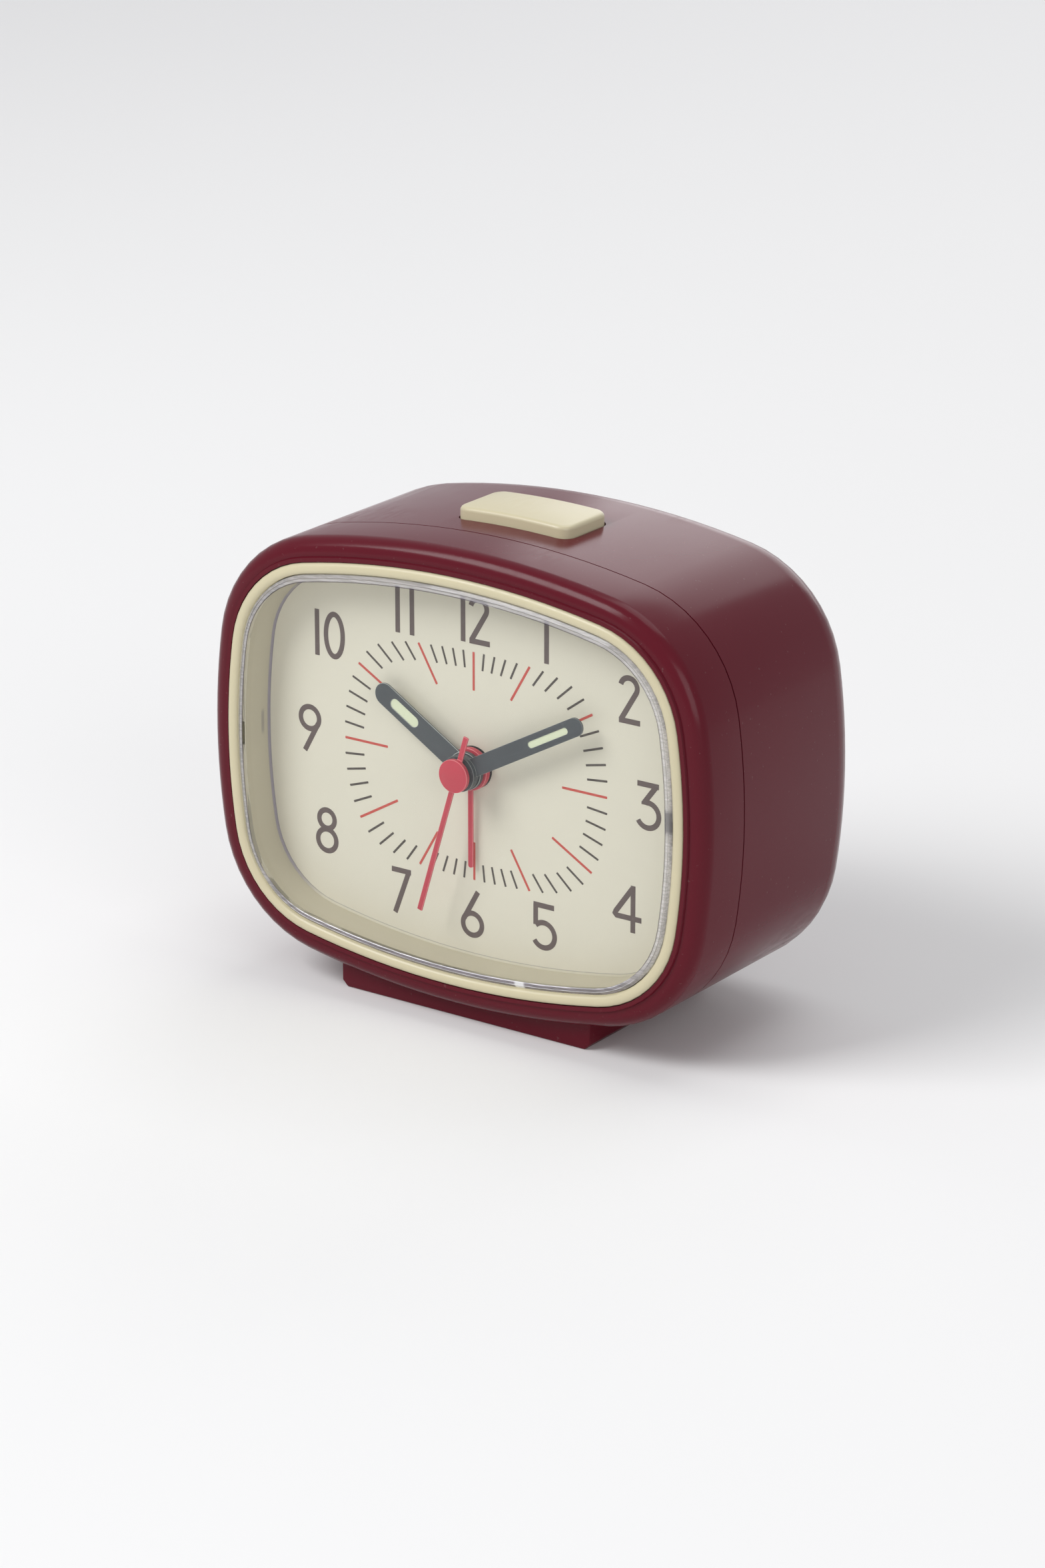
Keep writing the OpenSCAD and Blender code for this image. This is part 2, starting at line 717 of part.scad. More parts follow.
module bezel_ring() {
    half = ring_w / 2;
    crown = [for (a = [0 : 30 : 180])
        [half * cos(a) - border - half, front_y + ring_crown * (1 - sin(a))]];
    profile = concat(crown, [[ring_in_off, ring_back_y], [inner_off, ring_back_y],
        [inner_off, rim_back_y], [-border, rim_back_y]]);
    color(cream) outline_skin(profile, true);
}

// Clips of the lens: one at each side and one below, in notches of the dial surround
clip_t = 0.9;
clip_d = 2.5;

module lens_clips(grow) {
    x = side_x(nest_off, 0);
    z = case_h / 2 + nest_off;
    for (sx = [-1, 1])
        box_at(sx * (x - clip_t / 2), lens_back_y - grow, case_z, clip_t + grow,
            clip_d + 2 * grow, lens_clip_l + 2 * grow);
    box_at(0, lens_back_y - grow, case_z - z + clip_t / 2, lens_clip_l + 2 * grow,
        clip_d + 2 * grow, clip_t + grow);
}

module lens() {
    color([0.9, 0.95, 0.95, 0.3]) {
        outline_skin([[nest_off - 0.6, lens_front_y], [nest_off, lens_front_y + 0.5],
            [nest_off, lens_back_y]], false);
        lens_clips(0);
    }
}

module dial_surround() {
    profile = [[well_off, lens_back_y], [nest_off, lens_back_y], [nest_off, surround_flange_y],
        [inner_off, surround_flange_y], [inner_off, dial_y], [well_off - well_lip, dial_y],
        [well_off, dial_y - well_lip]];
    color(surround_beige) difference() {
        outline_skin(profile, true);
        at_stubs() bar(0, surround_flange_y - 1, 0, screw_r + slip, surround_flange_t + 2);
        lens_clips(0.1);
    }
}

module inner_plate(y, t) {
    translate([0, 0, case_z]) slab(y, t) polygon(outline(inner_off));
}

module dial_plate() {
    color(dial_white) difference() {
        inner_plate(dial_y, dial_t);
        from_axis([0, 0]) bar(0, dial_y - 1, 0, bush_r + loose, dial_t + 2);
        at_stubs() bar(0, dial_y - 1, 0, screw_r + slip, dial_t + 2);
    }
}

module dial_carrier() {
    color(black_plastic) difference() {
        union() {
            inner_plate(carrier_y, carrier_t);
            at_corners() bar(0, box_y, 0, post_r, post_l);
        }
        from_axis([0, 0]) bar(0, carrier_y - 1, 0, bush_r + loose, carrier_t + 2);
        at_stubs() bar(0, carrier_y - 1, 0, screw_r + slip, carrier_t + 2);
        at_ears() bar(0, carrier_y - 1, 0, screw_r + snug, carrier_t + 2);
        at_corners() bar(0, post_end_y - screw_bite - 1, 0, screw_r + snug, screw_bite + 2);
    }
}

// Screws: a shank with a cross-slotted head behind it
screw_bite = 8;

module screw(y, l) {
    difference() {
        union() {
            bar(0, y - l, 0, screw_r, l);
            bar(0, y, 0, screw_head_r, screw_head_h);
        }
        for (a = [0, 90]) rotate([0, a, 0])
            box_at(0, y + screw_head_h / 2, 0, 2 * screw_head_r * 0.7, screw_head_h, 0.4);
    }
}

module dial_screws() {
    color(steel) at_stubs() screw(box_y, box_y - surround_flange_y + 2);
}

module case_screws() {
    color(steel) at_corners() screw(post_end_y + web_t, web_t + screw_bite - 0.5);
}

module movement_screws() {
    color(steel) at_ears() screw(box_in_y, box_in_y - carrier_y - 0.2);
}

// Top button: its place, its opening and the posts that carry its board
button_y = front_y + case_d / 2;
button_flange = 2;
button_flange_t = 1.2;
spring_l = 5.6;
flange_r = top_arc_r - wall - slip;
flange_z = case_top_z - wall - slip - button_flange_t;
board_top_z = flange_z - spring_l;
board_thick = 1.2;
board_post_r = 2.2;
board_pin_r = 0.9;
board_post_x = button_w / 2 + button_flange + board_post_r + 2;

module at_board_posts() {
    for (sx = [-1, 1]) translate([sx * board_post_x, button_y, 0]) children();
}

// Alarm switch, buzzer and battery places on the back wall
switch_x = -31;
switch_z = case_z + 14;
slider_w = 4.5;
slider_h = 3;
buzzer_r = 8.5;
buzzer_h = 5;
buzzer_rise = 8;
buzzer_margin = 6.26;
buzzer_x = side_x(-rear_round, buzzer_rise) - buzzer_r - buzzer_margin;
buzzer_z = case_z + buzzer_rise;
cell_z = case_z - cell_drop;
inside_back_y = back_y - wall;

module sound_holes() {
    translate([buzzer_x, 0, buzzer_z]) {
        bar(0, inside_back_y - 1, 0, 0.9, wall + 2);
        for (a = [0 : 60 : 300]) rotate([0, a, 0]) bar(3.6, inside_back_y - 1, 0, 0.9, wall + 2);
    }
}

module rear_shell() {
    in_r = rear_round - wall;
    round_y = back_y - rear_round;
    lip = wall / 2 - loose;
    profile = concat(
        round_profile(-rear_round, round_y, in_r, 90, 0, 6),
        [[-wall, seam_y + tongue + loose], [-lip, seam_y + tongue + loose], [-lip, seam_y],
            [-seam_groove, seam_y], [-seam_groove, seam_y + seam_groove], [0, seam_y + seam_groove]],
        round_profile(-rear_round, round_y, rear_round, 0, 90, 7));
    color(crimson) difference() {
        union() {
            outline_skin(profile, false);
            at_corners() bar(0, post_end_y, 0, boss_r, inside_back_y + wall / 2 - post_end_y);
            at_board_posts() {
                translate([0, 0, board_top_z])
                    cylinder(r = board_post_r, h = case_top_z - wall / 2 - 0.8 - board_top_z);
                translate([0, 0, board_top_z - board_thick])
                    cylinder(r = board_pin_r, h = board_thick + 1);
            }
        }
        at_corners() {
            bar(0, post_end_y + web_t, 0, screw_head_r + slip, back_y - post_end_y);
            bar(0, post_end_y - 1, 0, screw_r + slip, web_t + 2);
        }
        for (at = [time_at, alarm_at]) from_axis(at) bar(0, inside_back_y - 1, 0, stem_r + slip, wall + 2);
        translate([0, 0, cell_z]) slab(inside_back_y - 1, wall + 2)
            polygon(rounded(door_w + 2 * slip, door_h + 2 * slip, door_corner + slip));
        box_at(switch_x, inside_back_y - 1, switch_z, slider_w + slider_travel + 2 * slip, wall + 2,
            slider_h + 2 * slip);
        translate([0, button_y, case_top_z - 2 * wall]) linear_extrude(4 * wall)
            polygon(rounded(button_w + 2 * slip, button_d + 2 * slip, button_corner + slip));
        sound_holes();
    }
}

// The foot's upper face follows the case's bottom arc
module base_foot() {
    y0 = frame_front_y + front_round + foot_inset;
    y1 = back_y - rear_round - foot_inset;
    half = foot_w / 2;
    arc_z = case_z - top_c;
    top_z = arc_z - sqrt(top_arc_r ^ 2 - half ^ 2) + 1;
    color(crimson) slab(y0, y1 - y0) difference() {
        polygon([[-half + foot_chamfer, 0], [half - foot_chamfer, 0], [half, foot_chamfer],
            [half, top_z], [-half, top_z], [-half, foot_chamfer]]);
        translate([0, arc_z]) circle(r = top_arc_r, $fn = 720);
    }
}

// Movement box
ear_w = 7;
ear_h = 8;
ear_z = 16;
box_post_r = 2.3;
box_post_in = 2;

module at_ears() {
    for (sx = [-1, 1], sz = [-1, 1]) from_axis([sx * (box_w + ear_w) / 2, sz * ear_z]) children();
}

module at_box_posts() {
    x = box_w / 2 - box_wall - box_post_in;
    z = box_h / 2 - box_wall - box_post_in;
    for (sx = [-1, 1], sz = [-1, 1]) from_axis([sx * x, sz * z]) children();
}

module movement_front_case() {
    in_w = box_w - 2 * box_wall;
    in_h = box_h - 2 * box_wall;
    color(black_plastic) difference() {
        union() {
            difference() {
                from_axis([0, 0]) box_at(0, box_y, 0, box_w, cover_y - box_y, box_h);
                from_axis([0, 0]) box_at(0, box_in_y, 0, in_w, cover_y - box_y, in_h);
            }
            at_ears() box_at(0, box_y, 0, ear_w + 0.2, front_plate_t, ear_h);
            at_box_posts() bar(0, box_in_y - 0.2, 0, box_post_r, middle_y - box_in_y + 0.2);
            from_axis([0, 0]) bar(0, dial_y, 0, bush_r, box_in_y - dial_y - 0.2);
        }
        from_axis([0, 0]) bar(0, dial_y - 1, 0, bush_in_r, box_in_y - dial_y + 2);
        for (at = [time_at, alarm_at]) from_axis(at) bar(0, box_y + gap / 2, 0, pivot_r + run, 3);
        at_ears() bar(0, box_y - 1, 0, screw_r + slip, front_plate_t + 2);
    }
}

module middle_plate() {
    w = box_w - 2 * box_wall - 2 * loose;
    h = box_h - 2 * box_wall - 2 * loose;
    color(white_nylon) difference() {
        union() {
            from_axis([0, 0]) box_at(0, middle_y, 0, w, middle_plate_t, h);
            from_axis(intermediate_at) {
                bar(0, intermediate_leaf_y, 0, stud_r, middle_y - intermediate_leaf_y + 0.2);
                bar(0, middle_y - gap, 0, stud_r + 0.8, gap + 0.2);
            }
            at_stator_pillars()
                bar(0, middle_y + middle_plate_t / 2, 0, pillar_r, stator_y - middle_y - middle_plate_t / 2);
        }
        from_axis([0, 0]) bar(0, middle_y - 1, 0, centre_out_r + run, middle_plate_t + 2);
        for (at = [third_at, reduction_at, rotor_at])
            from_axis(at) bar(0, middle_y - 1, 0, pivot_r + run, middle_plate_t + 2);
        for (at = [time_at, alarm_at])
            from_axis(at) bar(0, middle_y - 1, 0, stem_r + run, middle_plate_t + 2);
    }
}

module movement_rear_cover() {
    hole_y = cover_y - 1;
    hole_l = rear_cover_t / 2 + 1 + gap;
    color(black_plastic) difference() {
        union() {
            from_axis([0, 0]) box_at(0, cover_y, 0, box_w, rear_cover_t, box_h);
            at_box_posts() bar(0, middle_y + middle_plate_t, 0, box_post_in - loose,
                cover_y - middle_y - middle_plate_t + 0.2);
            at_board_pads() bar(0, board_y + board_t, 0, 1.2, cover_y - board_y - board_t + 0.2);
        }
        from_axis([0, 0]) bar(0, hole_y, 0, arbor_r + run, hole_l);
        for (at = [third_at, reduction_at, rotor_at]) from_axis(at) bar(0, hole_y, 0, pivot_r + run, hole_l);
        for (at = [time_at, alarm_at]) from_axis(at) bar(0, hole_y, 0, stem_r + run, rear_cover_t + 2);
    }
}

// Stepping motor: a laminated frame round the rotor, with the coil on its outer leg
pillar_r = 1.4;
stator_half_h = 13;
stator_arm = 3;
stator_bar_w = 8;
core_w = 3;
core_reach = 8.6;
coil_r = 2.4;
coil_flange_r = 2.7;
core_x = rotor_at[0] - core_reach;
stator_clear = 0.4;

module at_stator_pillars() {
    for (sz = [-1, 1]) from_axis([rotor_at[0], sz * (stator_half_h - stator_arm / 2)]) children();
}

module stator() {
    left = core_x - core_w / 2;
    window = rotor_at[0] - stator_bar_w / 2 - core_x - core_w / 2;
    color(steel) from_axis([0, 0]) slab(stator_y, stator_t) difference() {
        translate([left, -stator_half_h])
            square([rotor_at[0] + stator_bar_w / 2 - left, 2 * stator_half_h]);
        translate([left + core_w, stator_arm - stator_half_h])
            square([window, 2 * (stator_half_h - stator_arm)]);
        translate(rotor_at) circle(r = magnet_r + stator_clear);
    }
}

module motor_coil() {
    l = 2 * (stator_half_h - stator_arm) - 2 * loose;
    flange = 0.8;
    color(copper) translate([core_x, stator_y + stator_t / 2, axis_z - l / 2]) difference() {
        union() {
            cylinder(r = coil_r, h = l);
            for (z = [0, l - flange]) translate([0, 0, z]) cylinder(r = coil_flange_r, h = flange);
        }
        translate([-core_w / 2 - snug, -stator_t / 2 - snug, -1])
            cube([core_w + 2 * snug, stator_t + 2 * snug, l + 2]);
    }
}

// Circuit board, carried by pads of the rear cover
board_left = 4.5;
board_top = 8;
board_margin = 1.8;
post_margin = 1;
pad_in = [2.5, 3];
board_right = box_w / 2 - box_wall - box_post_in - box_post_r - post_margin;
board_bottom = box_wall + board_margin - box_h / 2;
board_mid = (board_left + board_right) / 2;
pads = [[board_left + pad_in[0], board_top - pad_in[1]],
    [board_right - pad_in[0], board_top - pad_in[1]], [board_mid, board_bottom + 5]];

module at_board_pads() {
    for (at = pads) from_axis(at) children();
}

module circuit_board() {
    color(board_green) from_axis([board_mid, (board_top + board_bottom) / 2])
        box_at(0, board_y, 0, board_right - board_left, board_t, board_top - board_bottom);
}

module quartz_crystal() {
    can_r = 1;
    color(steel) from_axis([board_mid + 4, board_top - 18])
        translate([0, board_y - can_r, -3]) cylinder(r = can_r, h = 6);
}

module driver_chip() {
    color(black_plastic) from_axis([board_mid - 4, board_top - 11])
        box_at(0, board_y - 1.2, 0, 4, 1.2, 4);
}

// Battery compartment
cell_nub_l = 1.3;
cell_nub_r = 2.7;
contact_t = 0.5;
cell_spring_l = 3.5;
tray_wall = 1.2;
tray_w = cell_l + cell_nub_l + contact_t + cell_spring_l;
tray_h = 2 * cell_r + 0.6;
tray_d = 2 * cell_r + 0.8;
cell_y = inside_back_y - 0.4 - cell_r;
tray_flange = 2.2;

module battery_box() {
    rim = tray_flange + tray_wall;
    color(black_plastic) difference() {
        union() {
            box_at(0, inside_back_y - tray_d - tray_wall, cell_z, tray_w + 2 * tray_wall,
                tray_d + tray_wall, tray_h + 2 * tray_wall);
            box_at(0, inside_back_y - tray_wall, cell_z, tray_w + 2 * rim, tray_wall, tray_h + 2 * rim);
        }
        box_at(0, inside_back_y - tray_d, cell_z, tray_w, tray_d + 1, tray_h);
    }
}

module battery_cell() {
    color([0.25, 0.3, 0.36]) translate([cell_spring_l - tray_w / 2, cell_y, cell_z])
        rotate([0, 90, 0]) {
            cylinder(r = cell_r, h = cell_l);
            translate([0, 0, cell_l]) cylinder(r = cell_nub_r, h = cell_nub_l);
        }
}

module battery_contact() {
    color(steel) box_at((tray_w - contact_t) / 2, cell_y - 5, cell_z, contact_t, 10, 10);
}

// A coil spring along Z: radius r0 at the bottom to r1 at the top
module spring(r0, r1, wire_r, l, turns) {
    per_turn = 14;
    n = turns * per_turn;
    sides = 8;
    points = [for (i = [0 : n]) let (a = 360 * i / per_turn, r = r0 + (r1 - r0) * i / n,
        z = wire_r + (l - 2 * wire_r) * i / n) for (j = [0 : sides - 1])
        let (b = 360 * j / sides, rr = r + wire_r * cos(b))
        [rr * cos(a), rr * sin(a), z + wire_r * sin(b)]];
    skin = [for (i = [0 : n - 1], j = [0 : sides - 1]) let (k = (j + 1) % sides)
        [i * sides + j, (i + 1) * sides + j, (i + 1) * sides + k, i * sides + k]];
    ends = [[for (j = [0 : sides - 1]) j], [for (j = [sides - 1 : -1 : 0]) n * sides + j]];
    polyhedron(points, concat(skin, ends), convexity = 10);
}

module battery_spring() {
    color(steel) translate([-tray_w / 2, cell_y, cell_z]) rotate([0, 90, 0])
        spring(4.2, 2.2, 0.35, cell_spring_l, 3);
}

// The door's grooved grip is a springy tongue between two slots
module battery_door() {
    grip_w = 12;
    slot_w = 0.8;
    slot_l = 8;
    color(crimson) difference() {
        translate([0, 0, cell_z]) slab(inside_back_y, wall)
            polygon(rounded(door_w, door_h, door_corner));
        for (i = [0 : 3]) box_at(0, back_y - 0.6, cell_z + door_h / 2 - 2.5 - 1.6 * i, grip_w, 1, 0.8);
        for (sx = [-1, 1]) box_at(sx * (grip_w + 3 * slot_w) / 2, inside_back_y - 1,
            cell_z + (door_h - slot_l) / 2 + 1, slot_w, wall + 2, slot_l + 2);
    }
}

module buzzer() {
    color(black_plastic) translate([buzzer_x, 0, buzzer_z]) difference() {
        bar(0, inside_back_y - buzzer_h, 0, buzzer_r, buzzer_h);
        bar(0, inside_back_y - 1, 0, 1.2, 2);
    }
}

// Alarm switch: a slider in the back wall and the contact block behind it
slider_flange_t = 0.8;
slider_gap = 0.1;
pin_w = 1.5;
block_d = 5;
block_y = inside_back_y - 2 * slider_gap - slider_flange_t;

module alarm_slider() {
    x = switch_x - slider_travel / 2;
    color(black_plastic) {
        box_at(x, inside_back_y - slider_gap - 0.1, switch_z, slider_w, wall + 1.4, slider_h);
        box_at(x, block_y + slider_gap, switch_z, slider_w + 2.4, slider_flange_t, slider_h + 2);
        box_at(x, block_y + slider_gap - 1.5, switch_z, pin_w, 1.7, pin_w);
    }
}

module alarm_switch_body() {
    leg = 1.4;
    w = slider_w + 2.4 + slider_travel + 2 * slip + 2 * leg;
    color(black_plastic) difference() {
        box_at(switch_x, block_y - block_d, switch_z, w, inside_back_y - block_y + block_d, 7);
        box_at(switch_x, block_y, switch_z, w - 2 * leg, 3, 8);
        box_at(switch_x, block_y - 2, switch_z, pin_w + slider_travel + 2 * slip, 3, pin_w + 2 * slip);
    }
}

// Snooze button, its spring, switch and board
plunger_r = 1.7;
plunger_out = 1.6;
switch_h = 2.2;

module arc_block(r_in, r_out, w) {
    intersection() {
        difference() {
            circle(r = r_out, $fn = 720);
            circle(r = r_in, $fn = 720);
        }
        translate([-w / 2, 0]) square([w, r_out + 1]);
    }
}

// The button's cap: rings at each [offset, depth] below its arched top, with a round upper edge
module button_cap(r, depth) {
    profile = concat([[0, depth]], [for (a = [0 : 22.5 : 90])
        [button_edge * (cos(a) - 1), button_edge * (1 - sin(a))]]);
    n = len(rounded(1, 1, 0));
    top = (len(profile) - 1) * n;
    points = [for (p = profile)
        for (q = rounded(button_w + 2 * p[0], button_d + 2 * p[0], button_corner + p[0]))
        [q[0], q[1], sqrt(r ^ 2 - q[0] ^ 2) - p[1]]];
    sides = [for (i = [0 : len(profile) - 2], j = [0 : n - 1]) let (k = (j + 1) % n)
        [i * n + j, (i + 1) * n + j, (i + 1) * n + k, i * n + k]];
    strips = [for (j = [0 : n / 2 - 2]) [j, n - 1 - j, n - 2 - j, j + 1]];
    polyhedron(points, concat(sides, [for (f = strips) [for (v = f) top + v]],
        [for (f = strips) [f[3], f[2], f[1], f[0]]]), convexity = 4);
}

module snooze_button() {
    bottom_r = flange_r - button_flange_t;
    cap_r = top_arc_r + button_proud;
    tip_z = board_top_z + switch_h + plunger_out + snug;
    color(cream) {
        translate([0, 0, case_z + top_c]) {
            translate([0, button_y, 0]) button_cap(cap_r, cap_r - bottom_r - button_flange_t / 2);
            slab(button_y - button_d / 2 - button_flange, button_d + 2 * button_flange)
                arc_block(bottom_r, flange_r, button_w + 2 * button_flange);
        }
        translate([0, button_y, tip_z]) cylinder(r = plunger_r, h = flange_z + 0.6 - tip_z);
    }
}

module snooze_plunger() {
    color(black_plastic) translate([0, button_y, board_top_z + switch_h - 0.4])
        cylinder(r = plunger_r, h = plunger_out + 0.4);
}

module snooze_spring() {
    color(steel) translate([0, button_y, board_top_z]) spring(4.9, 4.9, 0.3, spring_l - 0.15, 3);
}

module snooze_switch() {
    color(steel) translate([-3, button_y - 3, board_top_z]) difference() {
        cube([6, 6, switch_h]);
        translate([3, 3, switch_h - button_travel - 0.5])
            cylinder(r = plunger_r + run, h = switch_h);
    }
}

module switch_board() {
    w = 2 * board_post_x + 2 * board_post_r + 1;
    color(board_green) difference() {
        translate([-w / 2, button_y - 7, board_top_z - board_thick]) cube([w, 14, board_thick]);
        at_board_posts() translate([0, 0, board_top_z - board_thick - 1])
            cylinder(r = board_pin_r + snug, h = board_thick + 2);
    }
}

front_frame();
bezel_ring();
lens();
dial_surround();
dial_plate();
dial_carrier();
rear_shell();
base_foot();
dial_screws();
case_screws();
movement_screws();
movement_front_case();
middle_plate();
movement_rear_cover();
stator();
motor_coil();
circuit_board();
quartz_crystal();
driver_chip();
battery_box();
battery_cell();
battery_spring();
battery_contact();
battery_door();
buzzer();
alarm_hand();
alarm_wheel();
hour_hand();
hour_lume();
hour_wheel();
minute_hand();
minute_lume();
cannon_pinion();
intermediate_wheel();
second_hand();
second_wheel();
centre_wheel();
third_wheel();
reduction_wheel();
rotor_magnet();
rotor_pinion();
time_stem();
time_knob();
alarm_stem();
alarm_knob();
snooze_button();
snooze_plunger();
snooze_spring();
snooze_switch();
switch_board();
alarm_slider();
alarm_switch_body();
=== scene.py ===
"""Dresses the travel alarm clock: finishes for every solid, the printed dial, and the studio round it."""

import json
import math

import bpy
from bpy.props import FloatProperty, FloatVectorProperty, PointerProperty
from mathutils import Matrix, Vector
from mathutils.bvhtree import BVHTree


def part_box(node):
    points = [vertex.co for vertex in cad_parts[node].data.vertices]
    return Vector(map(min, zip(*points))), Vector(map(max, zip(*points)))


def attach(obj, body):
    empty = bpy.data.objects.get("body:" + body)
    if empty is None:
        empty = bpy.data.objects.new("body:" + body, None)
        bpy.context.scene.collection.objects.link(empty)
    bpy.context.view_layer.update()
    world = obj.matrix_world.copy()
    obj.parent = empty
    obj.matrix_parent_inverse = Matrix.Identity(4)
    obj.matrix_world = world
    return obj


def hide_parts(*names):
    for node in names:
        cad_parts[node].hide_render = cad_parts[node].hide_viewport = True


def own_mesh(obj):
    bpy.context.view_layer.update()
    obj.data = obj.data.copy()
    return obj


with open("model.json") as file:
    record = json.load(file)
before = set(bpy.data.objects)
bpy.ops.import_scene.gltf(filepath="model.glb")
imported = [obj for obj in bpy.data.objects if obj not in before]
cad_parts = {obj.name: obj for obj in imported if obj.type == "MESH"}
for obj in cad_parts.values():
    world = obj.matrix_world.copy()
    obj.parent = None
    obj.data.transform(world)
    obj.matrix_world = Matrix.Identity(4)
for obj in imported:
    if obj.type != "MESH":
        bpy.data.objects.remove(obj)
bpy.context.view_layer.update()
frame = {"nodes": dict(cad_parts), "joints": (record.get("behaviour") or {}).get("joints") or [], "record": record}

bl_info = {
    "name": "Travel Alarm Clock",
    "version": (1, 0, 0),
    "blender": (4, 5, 0),
    "location": "View3D > Sidebar > Clock",
    "description": "Finishes, dial print and studio for a travel alarm clock",
    "category": "Object",
}

MM = 0.001
# Width and height of the frame that the image points are in
PHOTO = (1045, 1568)
# Width of the camera's sensor, in millimetres
SENSOR_MM = 36
# The dial's front face, as a y, and the place where the hands' axis meets it
DIAL_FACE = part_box("dial_plate")[0][1]
HANDS_AXIS = Vector((0, DIAL_FACE, frame["joints"][0]["pos_m"][2]))
# Strength of the world's light, and what is added where it shows as the background: to the camera, in
# gloss and through clear plastic
SKY_LIGHT = 0.32
SKY_SHOWN = 0.4
# The floor's width, and the distances from the clock where it starts and ends fading out, in metres
FLOOR = 8
FADE = (0.5, 2.0)

# Image points, as x and y in the photograph's frame. None where the point is an edge in one direction.
POINTS = {
    "numeral_12": (474.5, 623.7),
    "numeral_1": (546.6, 642.7),
    "numeral_2": (629.6, 700.0),
    "numeral_3": (648.1, 806.5),
    "numeral_4": (627.6, 908.3),
    "numeral_5": (544.2, 926.9),
    "numeral_6": (472.5, 913.8),
    "numeral_7": (401.5, 890.9),
    "numeral_8": (327.2, 830.3),
    "numeral_9": (310.2, 728.0),
    "numeral_10": (329.9, 634.6),
    "numeral_11": (404.8, 612.3),
    "minute_tip": (584, None),
    "hour_tip": (373.8, None),
    "second_tip": (None, 910.3),
    "alarm_tip": (None, 868.3),
    "case_left": (217, None),
    "ring_left": (227.1, None),
    "ring_right": (684.6, None),
    "ring_bottom": (None, 1007),
}
# Which piece an edge point belongs to, whether it is an x (0) or a y (1), and which end of it
EDGES = {
    "minute_tip": ("minute_hand_skin", 0, max),
    "hour_tip": ("hour_hand_skin", 0, min),
    "second_tip": ("second_hand_skin", 1, max),
    "alarm_tip": ("alarm_hand_skin", 1, max),
    "case_left": ("front_frame_skin", 0, min),
    "ring_left": ("bezel_ring_skin", 0, min),
    "ring_right": ("bezel_ring_skin", 0, max),
    "ring_bottom": ("bezel_ring_skin", 1, max),
}

# Outer end of each minute mark from 12 to 3 o'clock, in millimetres from the hands' axis. The other
# quarters mirror it.
TRACK = (22.61, 22.73, 23.02, 23.57, 24.35, 25.52, 26.94, 28.44, 30.0, 30.87, 31.03, 31.02, 30.75,
         30.59, 30.43, 30.24)
# How far a mark reaches inwards, as a share of its outer end's distance
HOUR_REACH = 0.334
MINUTE_REACH = 0.149
# Length of the mark that the others are stretched from
MARK_LENGTH = 5 * MM
# How deep the numerals' backs sit in the dial
SUNK = 0.004 * MM
# How much higher each further stroke of a numeral is, as a share of the ink's height
STEP_UP = 0.08


class ClockSizes(bpy.types.PropertyGroup):
    """Sizes of the dial's print, the lens's rim, the knobs' faces and the camera's view."""

    stroke: FloatProperty(name="Numeral stroke", description="Width of the numerals' strokes",
                          default=1.06 * MM, subtype="DISTANCE")
    ink: FloatProperty(name="Ink height", description="Height of the print above the dial",
                       default=0.03 * MM, subtype="DISTANCE")
    minute_mark: FloatProperty(name="Minute mark", description="Width of a minute mark",
                               default=0.42 * MM, subtype="DISTANCE")
    hour_mark: FloatProperty(name="Five-minute mark", description="Width of a five-minute mark",
                             default=0.48 * MM, subtype="DISTANCE")
    ink_corner: FloatProperty(name="Mark corner", description="Radius of the marks' corners",
                              default=0.07 * MM, subtype="DISTANCE")
    rim: FloatProperty(name="Lens rim", description="Width of the lens's flat rim",
                       default=0.5 * MM, subtype="DISTANCE")
    groove: FloatProperty(name="Lens groove", description="Half the width, and the depth, of its groove",
                          default=0.1 * MM, subtype="DISTANCE")
    dish: FloatProperty(name="Knob dish", description="Depth of the dish in a setting knob's face",
                        default=0.35 * MM, subtype="DISTANCE")
    dish_edge: FloatProperty(name="Knob edge", description="Width of the edge round a knob's dish",
                             default=0.8 * MM, subtype="DISTANCE")
    lens_mm: FloatProperty(name="Lens", description="Focal length of the camera",
                           default=114.6, subtype="DISTANCE_CAMERA")
    azimuth: FloatProperty(name="Azimuth", description="Turn of the camera to the clock's right",
                           default=math.radians(35.3), subtype="ANGLE")
    elevation: FloatProperty(name="Elevation", description="Height of the camera as an angle",
                             default=math.radians(19.3), subtype="ANGLE")
    stand_off: FloatProperty(name="Stand-off", description="Distance from camera to dial",
                             default=935.9 * MM, subtype="DISTANCE")
    aim_right: FloatProperty(name="Aim right", description="Camera's step to its right of the hands' axis",
                             default=9.09 * MM, subtype="DISTANCE")
    aim_up: FloatProperty(name="Aim up", description="Camera's step upwards from the hands' axis",
                          default=-3.21 * MM, subtype="DISTANCE")


def tone(red, green, blue):
    """A screen colour as Blender's linear one."""
    return tuple(c / 255 / 12.92 if c <= 10 else ((c / 255 + 0.055) / 1.055) ** 2.4
                 for c in (red, green, blue))


def swatch(name, rgb):
    """A colour property with a screen colour as its default."""
    return FloatVectorProperty(name=name, description=name + " colour", default=tone(*rgb),
                               subtype="COLOR", min=0, max=1)


class ClockColours(bpy.types.PropertyGroup):
    """Colours of the clock's finishes."""

    crimson: swatch("Case", (90, 15, 30))
    cream: swatch("Bezel", (204, 195, 163))
    beige: swatch("Dial surround", (190, 182, 163))
    dial: swatch("Dial", (222, 215, 201))
    numeral: swatch("Numerals", (97, 82, 81))
    mark: swatch("Minute marks", (78, 69, 65))
    red_mark: swatch("Five-minute marks", (196, 78, 70))
    slate: swatch("Hour and minute hands", (60, 64, 70))
    hand_red: swatch("Second and alarm hands", (190, 44, 66))
    lume: swatch("Luminous fill", (220, 224, 196))


# --- Materials


